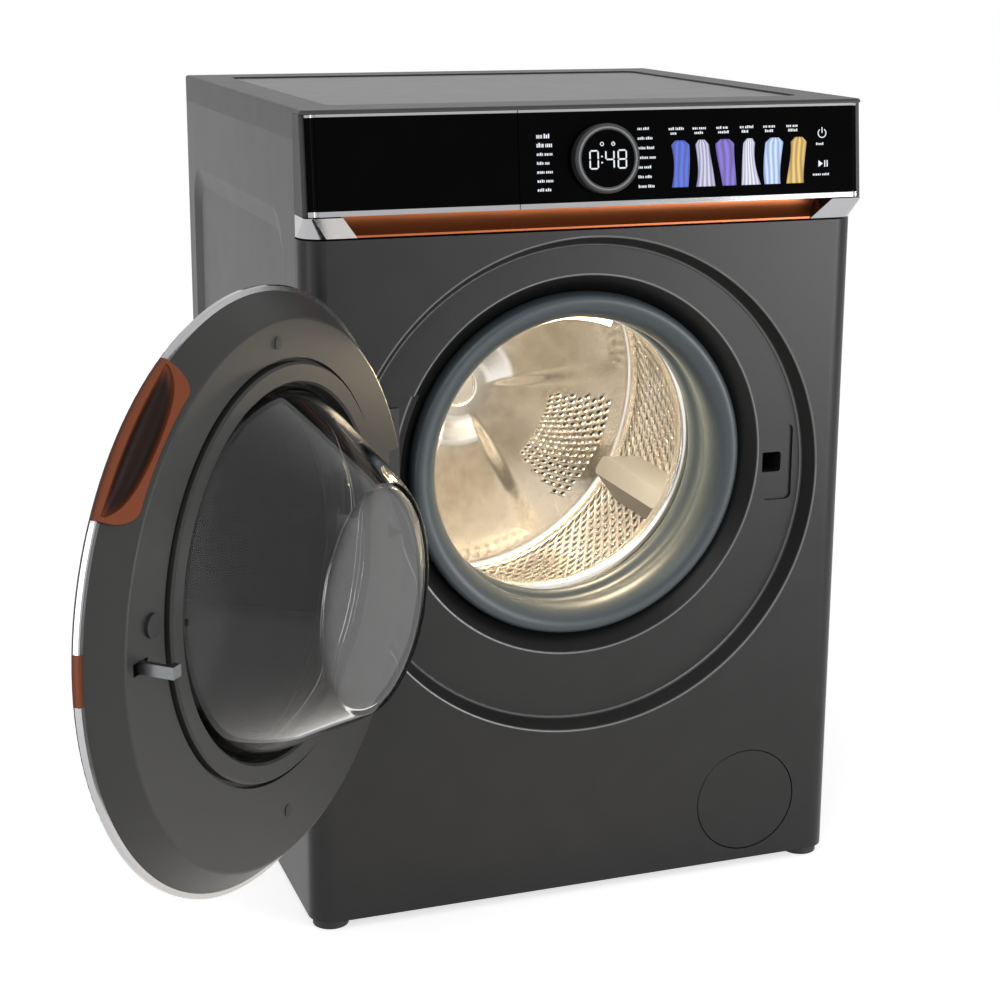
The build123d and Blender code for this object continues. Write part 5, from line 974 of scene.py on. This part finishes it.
class WASHER_OT_suspension(bpy.types.Operator):
    """Makes the coil springs that carry the tub and the ribbed hoses."""

    bl_idname = "washer.suspension"
    bl_label = "Springs and hoses"

    def execute(self, context):
        for side, word in ((-1.0, "left"), (1.0, "right")):
            coil = spring_mesh(f"spring_{word}", side * SPRING_X, SPRING_Y, *SPRING_ENDS)
            spring = piece(coil, "zinc_steel", ("suspension_springs",))
            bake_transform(spring)
        route = upright(PUMP_X, SUMP_Y, (117.0, 140.0, 190.0, 261.0))
        sump = piece(hose_mesh("sump_hose", route, 15.6, 14.0), "black_rubber", ("hoses",))
        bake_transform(sump)
        route = upright(WATER_X, FILL_Y, (664.5, 700.0, 730.0, 755.8))
        fill = piece(hose_mesh("fill_hose", route, 9.8, 10.0), "black_rubber", ("hoses",))
        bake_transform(fill)
        drain = hose_mesh("drain_hose", DRAIN_ROUTE, 9.0, 16.0)
        drain = piece(drain, "grey_plastic", ("hoses",))
        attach(drain, "cabinet")
        route = [(WATER_X, y, FEED_Z) for y in (51.4, 120.0, 180.0, 230.8)]
        feed = piece(hose_mesh("feed_hose", route, 8.8, 10.0), "grey_plastic", ("hoses",))
        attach(feed, "cabinet")
        return {"FINISHED"}


LAMPS = {  # size, place and the point it faces, in metres
    "key": ((1.8, 1.8), (-1.9, -2.6, 2.6), (0.0, -0.2, 0.5)),
    "left": ((0.4, 1.7), (-2.3, -0.95, 0.6), (-0.3, -0.28, 0.5)),
    "right": ((1.0, 0.8), (1.75, -2.4, 0.5), (0.25, -0.3, 0.6)),
}
DRUM_LAMP = (0.03, -0.15, (PORT_Z + 120.0) * MM)
FLOOR_HALF, FLOOR_Z = 9e3, -0.2
LENS, SENSOR, SHIFT = 71.758, 36.0, -0.07
EYE = (-0.75694, -2.13121, 0.99799)
EYE_TURN = (np.pi / 2 - 0.2363, -0.0054, -0.3411)


def area_lamp(name, power, size, place, aim):
    """Rectangular lamp at a place, facing a point."""
    light = bpy.data.lights.new(name, "AREA")
    light.shape = "RECTANGLE"
    light.energy, light.size, light.size_y = power, *size
    item = bpy.data.objects.new(name, light)
    run = np.array(aim) - np.array(place)
    item.location = place
    tilt = np.arccos(-run[2] / np.linalg.norm(run))
    item.rotation_euler = (tilt, 0.0, np.arctan2(run[1], run[0]) - np.pi / 2)
    bpy.context.scene.collection.objects.link(item)


class WASHER_OT_stage(bpy.types.Operator):
    """Makes the floor, the light and the camera."""

    bl_idname = "washer.stage"
    bl_label = "Stage"

    def execute(self, context):
        scene, light = context.scene, context.scene.washer_stage
        scene.view_settings.view_transform = "Standard"
        corners = np.array([(-1, -1, 0), (1, -1, 0), (1, 1, 0), (-1, 1, 0)]) * FLOOR_HALF
        corners[:, 2] = FLOOR_Z
        floor_mesh = whole_mesh("floor", corners, [np.array([[0, 1, 2, 3]])], False)
        floor = bpy.data.objects.new("floor", floor_mesh)
        scene.collection.objects.link(floor)
        ground = Finish(bpy.data.materials.new("floor"))
        cloud = ground.noise(0.6, detail=1.0)
        ground.put(Base_Color=ground.tint((0.86, 0.86, 0.86), (0.9, 0.9, 0.9), cloud), Roughness=0.85,
                   Emission_Color=ground.tint((0.0, 0.0, 0.0), (light.floor_white,) * 3, ground.seen()),
                   Emission_Strength=1.0)
        floor_mesh.materials.append(ground.material)
        scene.world = bpy.data.worlds.new("studio")
        studio = Finish(scene.world, "Background")
        studio.put(Color=(1.0, 1.0, 1.0), Strength=studio.seen() * (1.0 - light.sky) + light.sky)
        for key, (size, place, aim) in LAMPS.items():
            area_lamp(f"{key}_lamp", getattr(light, key), size, place, aim)
        lamp = bpy.data.lights.new("drum_light", "POINT")
        lamp.energy, lamp.shadow_soft_size = light.drum_lamp, 0.02
        lamp.color = scene.washer_colours.lamp
        glow = bpy.data.objects.new("drum_light", lamp)
        glow.location = DRUM_LAMP
        scene.collection.objects.link(glow)
        camera = bpy.data.cameras.new("camera")
        camera.sensor_width, camera.lens, camera.shift_y = SENSOR, LENS, SHIFT
        eye = bpy.data.objects.new("camera", camera)
        eye.location, eye.rotation_euler = EYE, EYE_TURN
        scene.collection.objects.link(eye)
        scene.camera = eye
        return {"FINISHED"}


class WASHER_PT_panel(bpy.types.Panel):
    """Sidebar panel with the settings and the steps."""

    bl_label = "Washing machine"
    bl_idname = "WASHER_PT_panel"
    bl_space_type = "VIEW_3D"
    bl_region_type = "UI"
    bl_category = "Washer"

    def draw(self, context):
        for group in (context.scene.washer_colours, context.scene.washer_sizes, context.scene.washer_stage):
            box = self.layout.box()
            for key in group.__annotations__:
                box.prop(group, key)
        for step in STEPS:
            self.layout.operator(step.bl_idname)


STEPS = (WASHER_OT_finishes, WASHER_OT_gasket, WASHER_OT_drum, WASHER_OT_bowl, WASHER_OT_display,
         WASHER_OT_suspension, WASHER_OT_stage)
GROUPS = {"washer_colours": WasherColours, "washer_sizes": WasherSizes, "washer_stage": WasherStage}


def register():
    """Registers the settings, the steps and the panel."""
    for key, group in GROUPS.items():
        bpy.utils.register_class(group)
        setattr(bpy.types.Scene, key, bpy.props.PointerProperty(type=group))
    for step in STEPS + (WASHER_PT_panel,):
        bpy.utils.register_class(step)


def unregister():
    """Takes away what register adds."""
    for step in STEPS + (WASHER_PT_panel,):
        bpy.utils.unregister_class(step)
    for key, group in GROUPS.items():
        delattr(bpy.types.Scene, key)
        bpy.utils.unregister_class(group)


def main():
    """Registers the add-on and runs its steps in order."""
    register()
    bpy.ops.washer.finishes()
    bpy.ops.washer.gasket()
    bpy.ops.washer.drum()
    bpy.ops.washer.bowl()
    bpy.ops.washer.display()
    bpy.ops.washer.suspension()
    bpy.ops.washer.stage()


if __name__ == "__main__":
    main()
